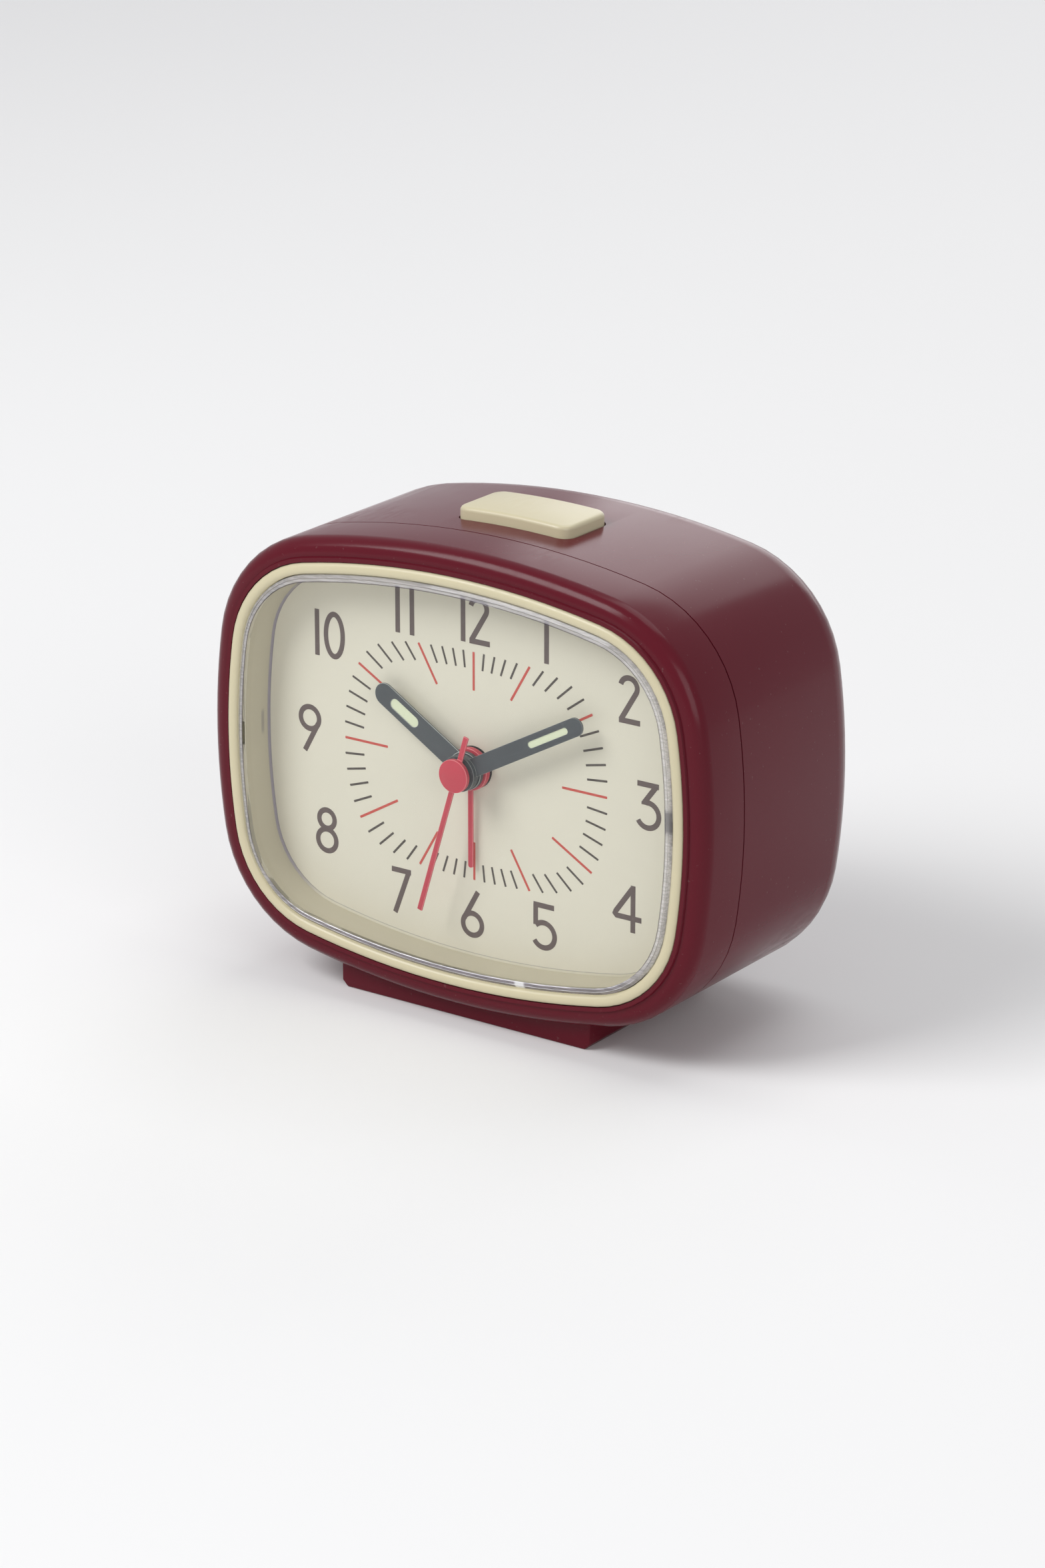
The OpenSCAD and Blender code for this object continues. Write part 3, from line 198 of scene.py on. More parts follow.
class Wire:
    """A node's output. Arithmetic on it adds Math nodes."""

    def __init__(self, recipe, socket):
        self.recipe, self.socket = recipe, socket

    def _math(self, operation, first, second):
        return self.recipe.node("ShaderNodeMath", {"operation": operation}, {0: first, 1: second})

    def __add__(self, other):
        return self._math("ADD", self, other)

    def __radd__(self, other):
        return self._math("ADD", other, self)

    def __sub__(self, other):
        return self._math("SUBTRACT", self, other)

    def __rsub__(self, other):
        return self._math("SUBTRACT", other, self)

    def __mul__(self, other):
        return self._math("MULTIPLY", self, other)

    def __rmul__(self, other):
        return self._math("MULTIPLY", other, self)


class Recipe:
    """A node tree being built."""

    def __init__(self, tree):
        self.tree = tree

    def node(self, kind, settings, sockets, output=0):
        node = self.tree.nodes.new(kind)
        for key, value in settings.items():
            setattr(node, key, value)
        for key, value in sockets.items():
            if isinstance(value, Wire):
                self.tree.links.new(value.socket, node.inputs[key])
            else:
                node.inputs[key].default_value = value
        return Wire(self, node.outputs[output])

    def seen(self, kind):
        """1 for one kind of ray."""
        return self.node("ShaderNodeLightPath", {}, {}, f"Is {kind} Ray")


class Finish(Recipe):
    """A material being built round one Principled shader."""

    def __init__(self, name, **fixed):
        self.material = bpy.data.materials.new(name)
        self.material.use_nodes = True
        super().__init__(self.material.node_tree)
        self.shader = self.tree.nodes["Principled BSDF"]
        for socket, value in fixed.items():
            self.shader.inputs[socket.replace("_", " ").title().replace("Ior", "IOR")].default_value = value
        self.place = self.node("ShaderNodeTexCoord", {}, {}, "Object")

    def noise(self, scale, detail=2.0, roughness=0.5):
        return self.node("ShaderNodeTexNoise", {}, {"Vector": self.place, "Scale": scale,
                         "Detail": detail, "Roughness": roughness})

    def ramp(self, wire, low, high):
        """0 up to low, 1 from high, and smooth between them."""
        return self.node("ShaderNodeMapRange", {"interpolation_type": "SMOOTHSTEP"},
                         {"Value": wire, "From Min": low, "From Max": high})

    def along(self, axis):
        """The place on the piece along one axis, in metres."""
        return self.node("ShaderNodeSeparateXYZ", {}, {0: self.place}, "XYZ"[axis])

    def near(self, axis, middle, reach):
        """1 within reach of a place along one axis, falling off over as much again."""
        off = self.node("ShaderNodeMath", {"operation": "ABSOLUTE"}, {0: self.along(axis) - middle})
        return 1 - self.ramp(off, reach, 2 * reach)

    def streaks(self, stretch, scale):
        """Noise that is drawn out along the axes with a small stretch."""
        drawn = self.node("ShaderNodeMapping", {}, {"Vector": self.place, "Scale": stretch})
        return self.node("ShaderNodeTexNoise", {}, {"Vector": drawn, "Scale": scale, "Detail": 3.0})

    def blend(self, share, first, second):
        """The first colour where share is 0, and the second where it is 1."""
        return self.node("ShaderNodeMix", {"data_type": "RGBA"}, {0: share, 6: first, 7: second}, 2)

    def feed(self, socket, wire):
        self.tree.links.new(wire.socket, self.shader.inputs[socket])

    def relief(self, height, strength, distance):
        self.feed("Normal", self.node("ShaderNodeBump", {}, {"Height": height, "Strength": strength,
                                      "Distance": distance}))


def shade(colour, factor):
    """A colour made darker or lighter."""
    return tuple(min(1.0, c * factor) for c in colour[:3]) + (1.0,)


def moulded(name, colour, gloss, grain, relief, level=0.5, dust=0.0):
    """Moulded plastic: a slow drift in colour, smears in the gloss, a fine skin and a little dust."""
    dust_tone = (0.6, 0.56, 0.52, 1)
    f = Finish(name, ior=1.49, specular_ior_level=level)
    body = f.blend(f.noise(22, 3), shade(colour, 0.93), shade(colour, 1.07))
    specks = f.ramp(f.noise(1300, 1), 0.72, 0.8) * dust
    f.feed("Base Color", f.blend(specks, body, dust_tone))
    smears = (f.noise(70, 4, 0.6) - 0.5) * (gloss * 0.5)
    prints = f.ramp(f.noise(38, 2), 0.52, 0.68) * f.ramp(f.streaks((1, 0.3, 0.6), 800), 0.4, 0.62)
    f.feed("Roughness", smears + prints * (gloss * 0.3) + specks * 0.4 + gloss)
    f.relief(f.noise(grain, 3), 0.5, relief)
    return f.material


def surround(name, colour):
    """The well's matt plastic, with painted shade: a dark crease line at the dial, and on the left a darker
    chamfer and a dark recess.
    """
    # Painted shade: a purple-grey for the chamfer by the dial, and a near-black for the crease there
    shaded_lip_tone, crease_shade_tone = (0.27, 0.235, 0.28, 1), (0.16, 0.14, 0.16, 1)
    notch_y, notch_z = DIAL_FACE - 1.9 * MM, 49.6 * MM
    f = Finish(name, ior=1.47)
    body = f.blend(f.noise(30, 3), shade(colour, 0.94), shade(colour, 1.05))
    # The painted shade of the chamfer and the recess is on the left side only
    left = 1 - f.ramp(f.along(0), -46 * MM, -34 * MM)
    shaded_lip = f.ramp(f.along(1), DIAL_FACE - 0.6 * MM, DIAL_FACE - 0.25 * MM) * left
    # A dark patch of painted shade for a recess in the wall
    notch_shade = f.near(1, notch_y, 0.28 * MM) * f.near(2, notch_z, 1.5 * MM) * left
    # A line of painted shade in the crease where the wall meets the dial, added to the recess's shade
    crease_and_notch_shade = f.near(1, DIAL_FACE, 0.06 * MM) * 0.6 + notch_shade * 0.45
    f.feed("Base Color", f.blend(crease_and_notch_shade, f.blend(shaded_lip, body, shaded_lip_tone), crease_shade_tone))
    f.feed("Roughness", 0.4 + f.noise(900, 3) * 0.15)
    f.relief(f.noise(1500, 3), 0.4, 0.015 * MM)
    return f.material


def printed(name, colour):
    """Screen-printed ink: slightly uneven density on a matt film."""
    f = Finish(name, ior=1.45)
    f.feed("Base Color", f.blend(f.noise(1800, 2), shade(colour, 0.9), shade(colour, 1.1)))
    f.feed("Roughness", 0.5 + f.noise(900) * 0.15)
    return f.material


def card(name, colour):
    """The dial: a satin lacquer over a faintly mottled print."""
    f = Finish(name, ior=1.45)
    fibre = f.noise(2600, 4, 0.65)
    mottle = f.noise(16, 2) * 0.6 + fibre * 0.4
    f.feed("Base Color", f.blend(mottle, shade(colour, 0.97), shade(colour, 1.03)))
    f.feed("Roughness", 0.52 + fibre * 0.1)
    f.relief(fibre, 0.25, 0.01 * MM)
    return f.material


def painted(name, colour, gloss):
    """Painted stamped metal, with the paint's orange peel."""
    f = Finish(name, coat_weight=0.15, coat_roughness=0.2)
    f.feed("Base Color", f.blend(f.noise(300, 2), shade(colour, 0.92), shade(colour, 1.08)))
    f.feed("Roughness", gloss + f.noise(500) * 0.1)
    f.relief(f.noise(1500), 0.3, 0.01 * MM)
    return f.material


def luminous(name, colour):
    """Grainy luminous paint."""
    f = Finish(name)
    grain = f.noise(3500, 3, 0.7)
    f.feed("Base Color", f.blend(grain, shade(colour, 0.88), shade(colour, 1.08)))
    f.feed("Roughness", 0.75 + grain * 0.15)
    f.relief(grain, 0.6, 0.03 * MM)
    return f.material


def metal(name, colour, gloss, streak=900):
    """Turned or drawn metal, with fine streaks in its roughness."""
    f = Finish(name, metallic=1.0)
    lines = f.streaks((1.0, 0.06, 1.0), streak)
    f.feed("Base Color", f.blend(lines, shade(colour, 0.85), shade(colour, 1.1)))
    f.feed("Roughness", gloss + lines * 0.15)
    f.relief(lines, 0.3, 0.01 * MM)
    return f.material


def jacket(name, colour):
    """The cell: a painted jacket between bare metal ends."""
    bare_tone = (0.6, 0.6, 0.62, 1)
    low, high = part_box("battery_cell")
    start, end, edge = low[0] + 1.0 * MM, high[0] - 2.3 * MM, 0.05 * MM
    f = Finish(name)
    x = f.along(0)
    bare = 1 - f.ramp(x, start, start + edge) * (1 - f.ramp(x, end, end + edge))
    paint = f.blend(f.noise(200, 2), shade(colour, 0.92), shade(colour, 1.08))
    f.feed("Base Color", f.blend(bare, paint, bare_tone))
    f.feed("Metallic", bare)
    f.feed("Roughness", 0.28 + f.noise(500) * 0.12)
    return f.material


def glazed(f, share, tint):
    """A finish that covers a share of clear plastic with a tint. Lamps shine through all of it."""
    lamp = f.seen("Shadow")
    clear = f.node("ShaderNodeBsdfTransparent", {}, {"Color": tint})
    both = f.node("ShaderNodeMixShader", {}, {0: share * (1 - lamp), 1: clear,
                                              2: Wire(f, f.shader.outputs[0])})
    f.tree.links.new(both.socket, f.tree.nodes["Material Output"].inputs["Surface"])
    return f.material


def pane(name):
    """Polished acrylic: a mirror that grows towards grazing, and a few specks of dust."""
    face_on, grazing, dust = 0.02, 0.9, 0.03
    f = Finish(name, metallic=1.0)
    f.feed("Base Color", f.blend(f.noise(40, 2), (0.9, 0.9, 0.9, 1), (1, 1, 1, 1)))
    f.feed("Roughness", f.noise(60, 3) * 0.06)
    edge = f.node("ShaderNodeLayerWeight", {}, {"Blend": 0.5}, "Facing")
    specks = f.ramp(f.noise(1100, 2), 0.66, 0.76)
    share = edge * edge * edge * edge * edge * grazing + specks * dust + face_on
    return glazed(f, share, (0.975, 0.985, 0.975, 1))


def rim(name, plain, low, share):
    """The lens's rim, which shows its skirt, painted with light and shade: a low tone along the bottom, a painted
    highlight there and a dark painted shade at the right.
    """
    # Painted highlight and painted shade on the clear acrylic
    painted_highlight_tone, clip_shade_tone = (0.86, 0.86, 0.88, 1), (0.13, 0.125, 0.14, 1)
    painted_highlight_x, clip_z = 16.3 * MM, 51 * MM
    f = Finish(name, roughness=0.05)
    # Towards the bottom the rim takes its other tone with light streaks: painted light and painted reflections
    bottom = 1 - f.ramp(f.along(2), 13 * MM, 26 * MM)
    right = f.ramp(f.along(0), 30 * MM, 31 * MM)
    lines = f.ramp(f.streaks((0.04, 1, 1), 2600), 0.42, 0.6)
    body = f.blend(bottom, f.blend(lines, shade(plain, 0.85), shade(plain, 1.12)),
                   f.blend(lines, shade(low, 0.75), shade(low, 1.35)))
    # A bright painted highlight on the bottom edge
    painted_highlight = f.near(0, painted_highlight_x, 0.7 * MM) * bottom
    # A dark patch of painted shade where a clip holds the lens at the right
    clip_shade = f.near(2, clip_z, 1.5 * MM) * right
    f.feed("Base Color", f.blend(clip_shade, f.blend(painted_highlight, body, painted_highlight_tone), clip_shade_tone))
    return glazed(f, bottom * 0.3 + clip_shade * 0.3 + share, (0.93, 0.93, 0.94, 1))


def finishes():
    """One material for each of the record's slots, and those of the rim and the hands' edges, which are painted
    light, and the inks.
    """
    c = bpy.context.scene.clock_colours
    dark = tone(34, 34, 36)
    return {
        "crimson_shell": moulded("crimson_plastic", c.crimson, 0.2, 420, 0.004 * MM, level=0.19, dust=0.05),
        "cream_trim": moulded("cream_plastic", c.cream, 0.34, 600, 0.012 * MM),
        "beige_surround": surround("beige_plastic", c.beige),
        "black_plastic": moulded("black_plastic", dark, 0.42, 2400, 0.05 * MM),
        "white_nylon": moulded("natural_acetal", tone(228, 226, 216), 0.4, 900, 0.01 * MM),
        "board": moulded("circuit_board_green", tone(30, 92, 58), 0.35, 1600, 0.01 * MM),
        "clear_lens": pane("clear_acrylic"),
        # The rim's light grey and the edge's dark grey, swapped along the bottom, are painted reflection and
        # painted shade on clear acrylic
        "lens_rim_painted_light": rim("acrylic_rim_painted_light", tone(198, 196, 201), tone(118, 112, 120), 0.5),
        "lens_edge_painted_light": rim("acrylic_edge_painted_light", tone(88, 82, 92), tone(205, 203, 208), 0.65),
        "dial_print": card("dial_lacquer", c.dial),
        "slate_hand": painted("slate_paint", c.slate, 0.38),
        "red_hand": painted("red_paint", c.hand_red, 0.36),
        # The hands' bevels in a lighter tone: a painted highlight
        "slate_edge_highlight": painted("slate_paint_edge_highlight", tone(168, 170, 168), 0.3),
        "red_edge_highlight": painted("red_paint_edge_highlight", tone(222, 116, 126), 0.3),
        "cell_jacket": jacket("cell_jacket_paint", tone(60, 70, 84)),
        "lume": luminous("luminous_paint", c.lume),
        "steel": metal("zinc_plated_steel", tone(196, 198, 202), 0.28),
        "brass": metal("turned_brass", tone(205, 170, 95), 0.25),
        "copper_wire": metal("enamelled_copper", tone(180, 100, 60), 0.3, 2500),
        "magnet": metal("sintered_magnet", tone(90, 90, 94), 0.5, 1500),
        "numeral_ink": printed("numeral_ink", c.numeral),
        "mark_ink": printed("mark_ink", c.mark),
        "red_ink": printed("red_ink", c.red_mark),
    }


# Materials by name, filled by main, and the record's material slot of each node
FINISH = {}
SLOT_OF = {p["node"]: p["material_slot"] for p in frame["record"]["subparts"]}


def coat(obj, slot):
    """Gives a whole piece one finish."""
    obj.data.materials.clear()
    obj.data.materials.append(FINISH[slot])


# --- Modelling helpers


def deselect():
    if bpy.context.object and bpy.context.object.mode != "OBJECT":
        bpy.ops.object.mode_set(mode="OBJECT")
    bpy.ops.object.select_all(action="DESELECT")


def make_active(obj):
    deselect()
    obj.select_set(True)
    bpy.context.view_layer.objects.active = obj


def settled(obj, name, body, slot):
    """Applies the piece's place, names it, gives it a finish and lets it ride."""
    make_active(obj)
    bpy.ops.object.transform_apply(location=True, rotation=True, scale=True)
    obj.name = obj.data.name = name
    coat(obj, slot)
    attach(obj, body)


def joined(objects):
    """Joins copies into one piece."""
    deselect()
    for obj in objects:
        obj.select_set(True)
    bpy.context.view_layer.objects.active = objects[0]
    if len(objects) > 1:
        bpy.ops.object.join()
    return bpy.context.object


def removed(objects):
    """Deletes the models that copies were made from."""
    deselect()
    for obj in objects:
        obj.select_set(True)
    bpy.ops.object.delete()


def picked(obj, test):
    """Opens a mesh for editing with the faces selected that pass a test."""
    make_active(obj)
    bpy.ops.object.mode_set(mode="EDIT")
    bpy.ops.mesh.select_mode(type="FACE")
    bpy.ops.mesh.select_all(action="DESELECT")
    bpy.ops.object.mode_set(mode="OBJECT")
    for face in obj.data.polygons:
        face.select = test(face)
    bpy.ops.object.mode_set(mode="EDIT")


def assigned(obj, index):
    """Gives the selected faces one of the object's finishes."""
    obj.active_material_index = index
    bpy.ops.object.material_slot_assign()


def body_with(node):
    """The body that a node moves with."""
    return next(b for b, nodes in frame["record"]["behaviour"]["bodies"].items() if node in nodes)


def skin_of(node, radius=0.0, angle=28.0, bevel_highlight=None):
    """A merged copy of a solid, its edges rounded and its rounds shaded smooth. It stands for the solid."""
    source = frame["nodes"][node]
    skin = source.copy()
    skin.data = source.data.copy()
    for key in [k for k in skin.keys() if k.startswith("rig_")]:
        del skin[key]
    skin.parent = None
    skin.matrix_world = Matrix.Identity(4)
    bpy.context.scene.collection.objects.link(skin)
    settled(skin, node + "_skin", body_with(node), SLOT_OF[node])
    if skin.data.has_custom_normals:
        bpy.ops.mesh.customdata_custom_splitnormals_clear()
    bpy.ops.object.mode_set(mode="EDIT")
    bpy.ops.mesh.select_all(action="SELECT")
    bpy.ops.mesh.remove_doubles(threshold=0.001 * MM)
    bpy.ops.mesh.dissolve_limited(angle_limit=math.radians(0.3))
    bpy.ops.object.mode_set(mode="OBJECT")
    if radius:
        bevel = skin.modifiers.new("soft_edges", "BEVEL")
        bevel.width = radius
        bevel.segments = 3
        bevel.limit_method = "ANGLE"
        bevel.angle_limit = math.radians(30)
        # The rounded edges can take a lighter finish of their own, a painted highlight
        if bevel_highlight:
            skin.data.materials.append(FINISH[bevel_highlight])
            bevel.material = 1
        bpy.ops.object.modifier_apply(modifier=bevel.name)
    bpy.ops.object.shade_smooth_by_angle(angle=math.radians(angle))
    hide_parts(node)
    return skin


def dished(obj, edge, depth, angle):
    """Sinks the flat back face of a knob inside an edge of its own."""
    back = max(vertex.co.y for vertex in obj.data.vertices)
    picked(obj, lambda face: face.normal.y > 0.99 and face.center.y > back - depth / 10)
    bpy.ops.mesh.inset(thickness=edge)
    bpy.ops.mesh.inset(thickness=depth, depth=-depth)
    bpy.ops.object.mode_set(mode="OBJECT")
    bpy.ops.object.shade_smooth_by_angle(angle=math.radians(angle))


# --- Camera and image points


def view_axes(sizes):
    """The camera's right, up and backwards."""
    a, e = sizes.azimuth, sizes.elevation
    back = Vector((math.sin(a) * math.cos(e), -math.cos(a) * math.cos(e), math.sin(e)))
    right = Vector((math.cos(a), math.sin(a), 0))
    return right, back.cross(right), back


def camera_place(sizes):
    """The camera's place and turn as a matrix."""
    right, up, back = view_axes(sizes)
    place = HANDS_AXIS + right * sizes.aim_right + up * sizes.aim_up + back * sizes.stand_off
    turn = Matrix((right, up, back)).transposed().to_4x4()
    return Matrix.Translation(place) @ turn


def image_ray(point, sizes):
    """Where the ray through an image point starts, and its direction."""
    width, height = PHOTO
    there = camera_place(sizes)
    reach = max(PHOTO) * sizes.lens_mm / SENSOR_MM
    along = Vector((point[0] - width / 2, height / 2 - point[1], -reach))
    return there.translation, (there.to_3x3() @ along).normalized()


def image_of(place, sizes):
    """The image point where a place shows."""
    width, height = PHOTO
    seen = camera_place(sizes).inverted() @ place
    reach = max(PHOTO) * sizes.lens_mm / SENSOR_MM
    return width / 2 + reach * seen.x / -seen.z, height / 2 - reach * seen.y / -seen.z


def tree_of(obj):
    """A piece's faces, ready for rays."""
    return BVHTree.FromPolygons([v.co for v in obj.data.vertices], [p.vertices for p in obj.data.polygons])


def seat(point, carrier, sizes):
    """The place on the carrier that shows at an image point."""
    start, along = image_ray(point, sizes)
    tree = tree_of(carrier)
    hit = tree.ray_cast(start, along)[0]
    return hit if hit else tree.find_nearest(start + along * sizes.stand_off)[0]


# --- Dial print


def arc(cx, cz, r, start, end, steps=20, rz=None):
    """Points along an arc in degrees, round or, with its own height rz, oval."""
    turn = [math.radians(start + (end - start) * i / steps) for i in range(steps + 1)]
    return [(cx + r * math.cos(t), cz + (rz or r) * math.sin(t)) for t in turn]


def band(path, width):
    """The two sides of a stroke of even width along a path."""
    left, right = [], []
    for i, (x, z) in enumerate(path):
        before = Vector(path[i]) - Vector(path[i - 1]) if i else None
        after = Vector(path[i + 1]) - Vector(path[i]) if i + 1 < len(path) else None
        d1 = (before or after).normalized()
        d2 = (after or before).normalized()
        way = (d1 + d2).normalized()
        reach = width / 2 / max(0.35, way.dot(d1))
        left.append((x - way.y * reach, z + way.x * reach))
        right.append((x + way.y * reach, z - way.x * reach))
    return left, right


def even(path, gap=0.5):
    """The same path with points no further apart than gap."""
    dense = [path[0]]
    for (x0, z0), (x1, z1) in zip(path, path[1:]):
        parts = max(1, math.ceil(math.hypot(x1 - x0, z1 - z0) / gap))
        dense += [(x0 + (x1 - x0) * i / parts, z0 + (z1 - z0) * i / parts) for i in range(1, parts + 1)]
    return dense


def stroke(path, height, closed=False):
    """A printed stroke along a path in millimetres, as a mesh of a height that stands on the dial."""
    width = bpy.context.scene.clock_sizes.stroke / MM
    path = even(path)
    if closed:
        left, right = band([path[-2]] + path + [path[1]], width)
        loops = [left[1:-2], right[1:-2]]
    else:
        left, right = band(path, width)
        loops = [left + right[::-1]]
    deselect()
    bpy.ops.curve.primitive_bezier_curve_add()
    curve = bpy.context.object
    curve.data.splines.clear()
    curve.data.dimensions = "2D"
    curve.data.fill_mode = "BOTH"
    curve.data.extrude = height / MM / 2
    for loop in loops:
        line = curve.data.splines.new("POLY")
        line.points.add(len(loop) - 1)
        line.use_cyclic_u = True
        for knot, (x, z) in zip(line.points, loop):
            knot.co = (x, z, 0, 1)
    curve.location = (0, DIAL_FACE - height / 2 + SUNK, 0)
    curve.rotation_euler = (math.pi / 2, 0, 0)
    curve.scale = (MM, MM, MM)
    bpy.ops.object.convert(target="MESH")
    bpy.ops.object.transform_apply(location=True, rotation=True, scale=True)
    return bpy.context.object


def copied(model, place, stretch=(1, 1, 1), turn=0.0):
    """A copy of a finished model with its own mesh, stretched, turned about Y and moved."""
    make_active(model)
    bpy.ops.object.duplicate(linked=False)
    copy = bpy.context.object
    copy.scale = stretch
    copy.rotation_euler = (0, turn, 0)
    copy.location = place
    return copy


# Each numeral's strokes about its own middle, in millimetres: (path, closed)
GLYPHS = {
    "0": [(arc(0, 0, 2.0, 0, 360, 40, 4.2), True)],
    "1": [([(0, 4.6), (0, -4.6)], False)],
    "2": [(arc(-0.15, 2.35, 1.82, 168, -25) + [(-1.92, -4.1)], False),
          ([(-2.32, -4.15), (2.35, -4.15)], False)],
    "3": [([(-2.4, 4.15), (2.35, 4.15)], False), ([(1.75, 4.1), (-0.93, 0.5), (-0.93, 0.2)], False),
          (arc(-0.05, -1.75, 2.45, 100, -150, 28), False)],
    "4": [([(1.2, 4.65), (1.2, -4.65)], False),
          ([(1.0, 4.0), (-2.6, -1.0), (-2.8, -1.5), (-2.45, -1.85), (3.1, -1.85)], False)],
    "5": [([(-2.45, 4.15), (2.25, 4.15)], False), ([(-1.95, 4.2), (-1.95, 0.1)], False),
          (arc(-0.1, -1.7, 2.5, 137, -148, 28), False)],
    "6": [(arc(0, -2.1, 2.2, 0, 360, 36), True), ([(1.3, 4.65), (-1.95, -1.2)], False)],
    "7": [([(-2.25, 4.15), (2.3, 4.15)], False), ([(1.8, 4.2), (-1.5, -4.6)], False)],
    "8": [(arc(0, 2.3, 1.85, 0, 360, 36), True), (arc(0, -1.95, 2.2, 0, 360, 36), True)],
    "9": [(arc(0, 2.1, 2.2, 0, 360, 36), True), ([(-1.3, -4.65), (1.95, 1.2)], False)],
}
# Where the digits of a numeral of two stand from its middle, in millimetres
SPREAD = {"10": (-3.03, 1.07), "11": (-1.67, 1.67), "12": (-2.62, 1.15)}
# Half of what the bezel hides of the top row's numerals, in millimetres
TUCKED = {"12": 0.7, "11": 0.37, "1": 0.5}


class CLOCK_OT_numerals(bpy.types.Operator):
    """Print the twelve numerals on the dial"""

    bl_idname = "clock.numerals"
    bl_label = "Numerals"

    def execute(self, context):
        sizes = context.scene.clock_sizes
        digits = {}
        for digit, strokes in GLYPHS.items():
            digits[digit] = joined([stroke(path, sizes.ink * (1 + STEP_UP * i), closed)
                                    for i, (path, closed) in enumerate(strokes)])
        for hour in range(1, 13):
            text = str(hour)
            at = seat(POINTS["numeral_" + text], frame["nodes"]["dial_plate"], sizes)
            lift = TUCKED.get(text, 0) * MM
            pieces = [copied(digits[digit], (at.x + step * MM, 0, at.z + lift))
                      for digit, step in zip(text, SPREAD.get(text, (0,)))]
            settled(joined(pieces), "numeral_" + text, "case", "numeral_ink")
        removed(digits.values())
        return {"FINISHED"}


class CLOCK_OT_minute_track(bpy.types.Operator):
    """Print the minute marks round the dial"""

    bl_idname = "clock.minute_track"
    bl_label = "Minute track"

    def mark(self, sizes, width):
        """One printed mark with round corners, upright, its back in the dial's face."""
        deselect()
        bpy.ops.mesh.primitive_plane_add(size=1, rotation=(math.pi / 2, 0, 0))
        mark = bpy.context.object
        mark.scale = (width, MARK_LENGTH, 1)
        bpy.ops.object.transform_apply(location=False, rotation=True, scale=True)
        bpy.ops.object.mode_set(mode="EDIT")
        bpy.ops.mesh.select_all(action="SELECT")
        bpy.ops.mesh.bevel(offset=sizes.ink_corner, segments=3, affect="VERTICES")
        bpy.ops.mesh.extrude_region_move(TRANSFORM_OT_translate={"value": (0, -sizes.ink, 0)})
        bpy.ops.mesh.select_all(action="SELECT")
        bpy.ops.mesh.normals_make_consistent(inside=False)
        bpy.ops.object.mode_set(mode="OBJECT")
        return mark

    def execute(self, context):
        sizes = context.scene.clock_sizes
        marks = {"mark_ink": [], "red_ink": []}
        models = {"mark_ink": self.mark(sizes, sizes.minute_mark),
                  "red_ink": self.mark(sizes, sizes.hour_mark)}
        for minute in range(60):
            outer = TRACK[min(minute % 30, 30 - minute % 30)] * MM
            ink, reach = ("mark_ink", MINUTE_REACH) if minute % 5 else ("red_ink", HOUR_REACH)
            turn = math.radians(6 * minute)
            middle = HANDS_AXIS + Vector((math.sin(turn), 0, math.cos(turn))) * outer * (1 - reach / 2)
            marks[ink].append(copied(models[ink], middle, (1, 1, outer * reach / MARK_LENGTH), turn))
        removed(models.values())
        settled(joined(marks["mark_ink"]), "minute_marks", "case", "mark_ink")
        settled(joined(marks["red_ink"]), "five_minute_marks", "case", "red_ink")
        return {"FINISHED"}


# --- Pieces that come from the frame's solids


class CLOCK_OT_case(bpy.types.Operator):
    """Finish the crimson case, its foot and door, the bezel ring and the dial's surround"""

    bl_idname = "clock.case"
    bl_label = "Case and bezel"

    def execute(self, context):
        for node in ("front_frame", "rear_shell", "dial_surround"):
            skin_of(node)
        skin_of("bezel_ring", angle=60)
        skin_of("base_foot", 0.35 * MM, 40)
        skin_of("battery_door", 0.12 * MM, 40)
        return {"FINISHED"}


class CLOCK_OT_hands(bpy.types.Operator):
    """Finish the four hands with the soft edges of stamped and painted metal, lighter on the edges as a painted
    highlight
    """

    bl_idname = "clock.hands"
    bl_label = "Hands"

    def execute(self, context):
        for node, bevel_highlight in (("minute_hand", "slate_edge_highlight"), ("hour_hand", "slate_edge_highlight"),
                           ("second_hand", "red_edge_highlight"), ("alarm_hand", "red_edge_highlight")):
            skin_of(node, 0.1 * MM, 40, bevel_highlight)
        return {"FINISHED"}


class CLOCK_OT_controls(bpy.types.Operator):
    """Finish the snooze button and its spring, the setting knobs and the alarm switch"""

    bl_idname = "clock.controls"
    bl_label = "Button, knobs and switch"

    def execute(self, context):
        sizes = context.scene.clock_sizes
        skin_of("snooze_button", angle=35)
        skin_of("alarm_slider", 0.14 * MM, 40)
        for knob in ("time_knob", "alarm_knob"):
            dished(skin_of(knob, 0.14 * MM, 40), sizes.dish_edge, sizes.dish, 30)
        press = next(j for j in frame["record"]["behaviour"]["joints"] if j["name"] == "snooze_press")
        low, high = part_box("snooze_spring")
        keep = 1 - press["range_m"][1] / (high[2] - low[2])
        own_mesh(skin_of("snooze_spring", angle=60))
        return {"FINISHED"}


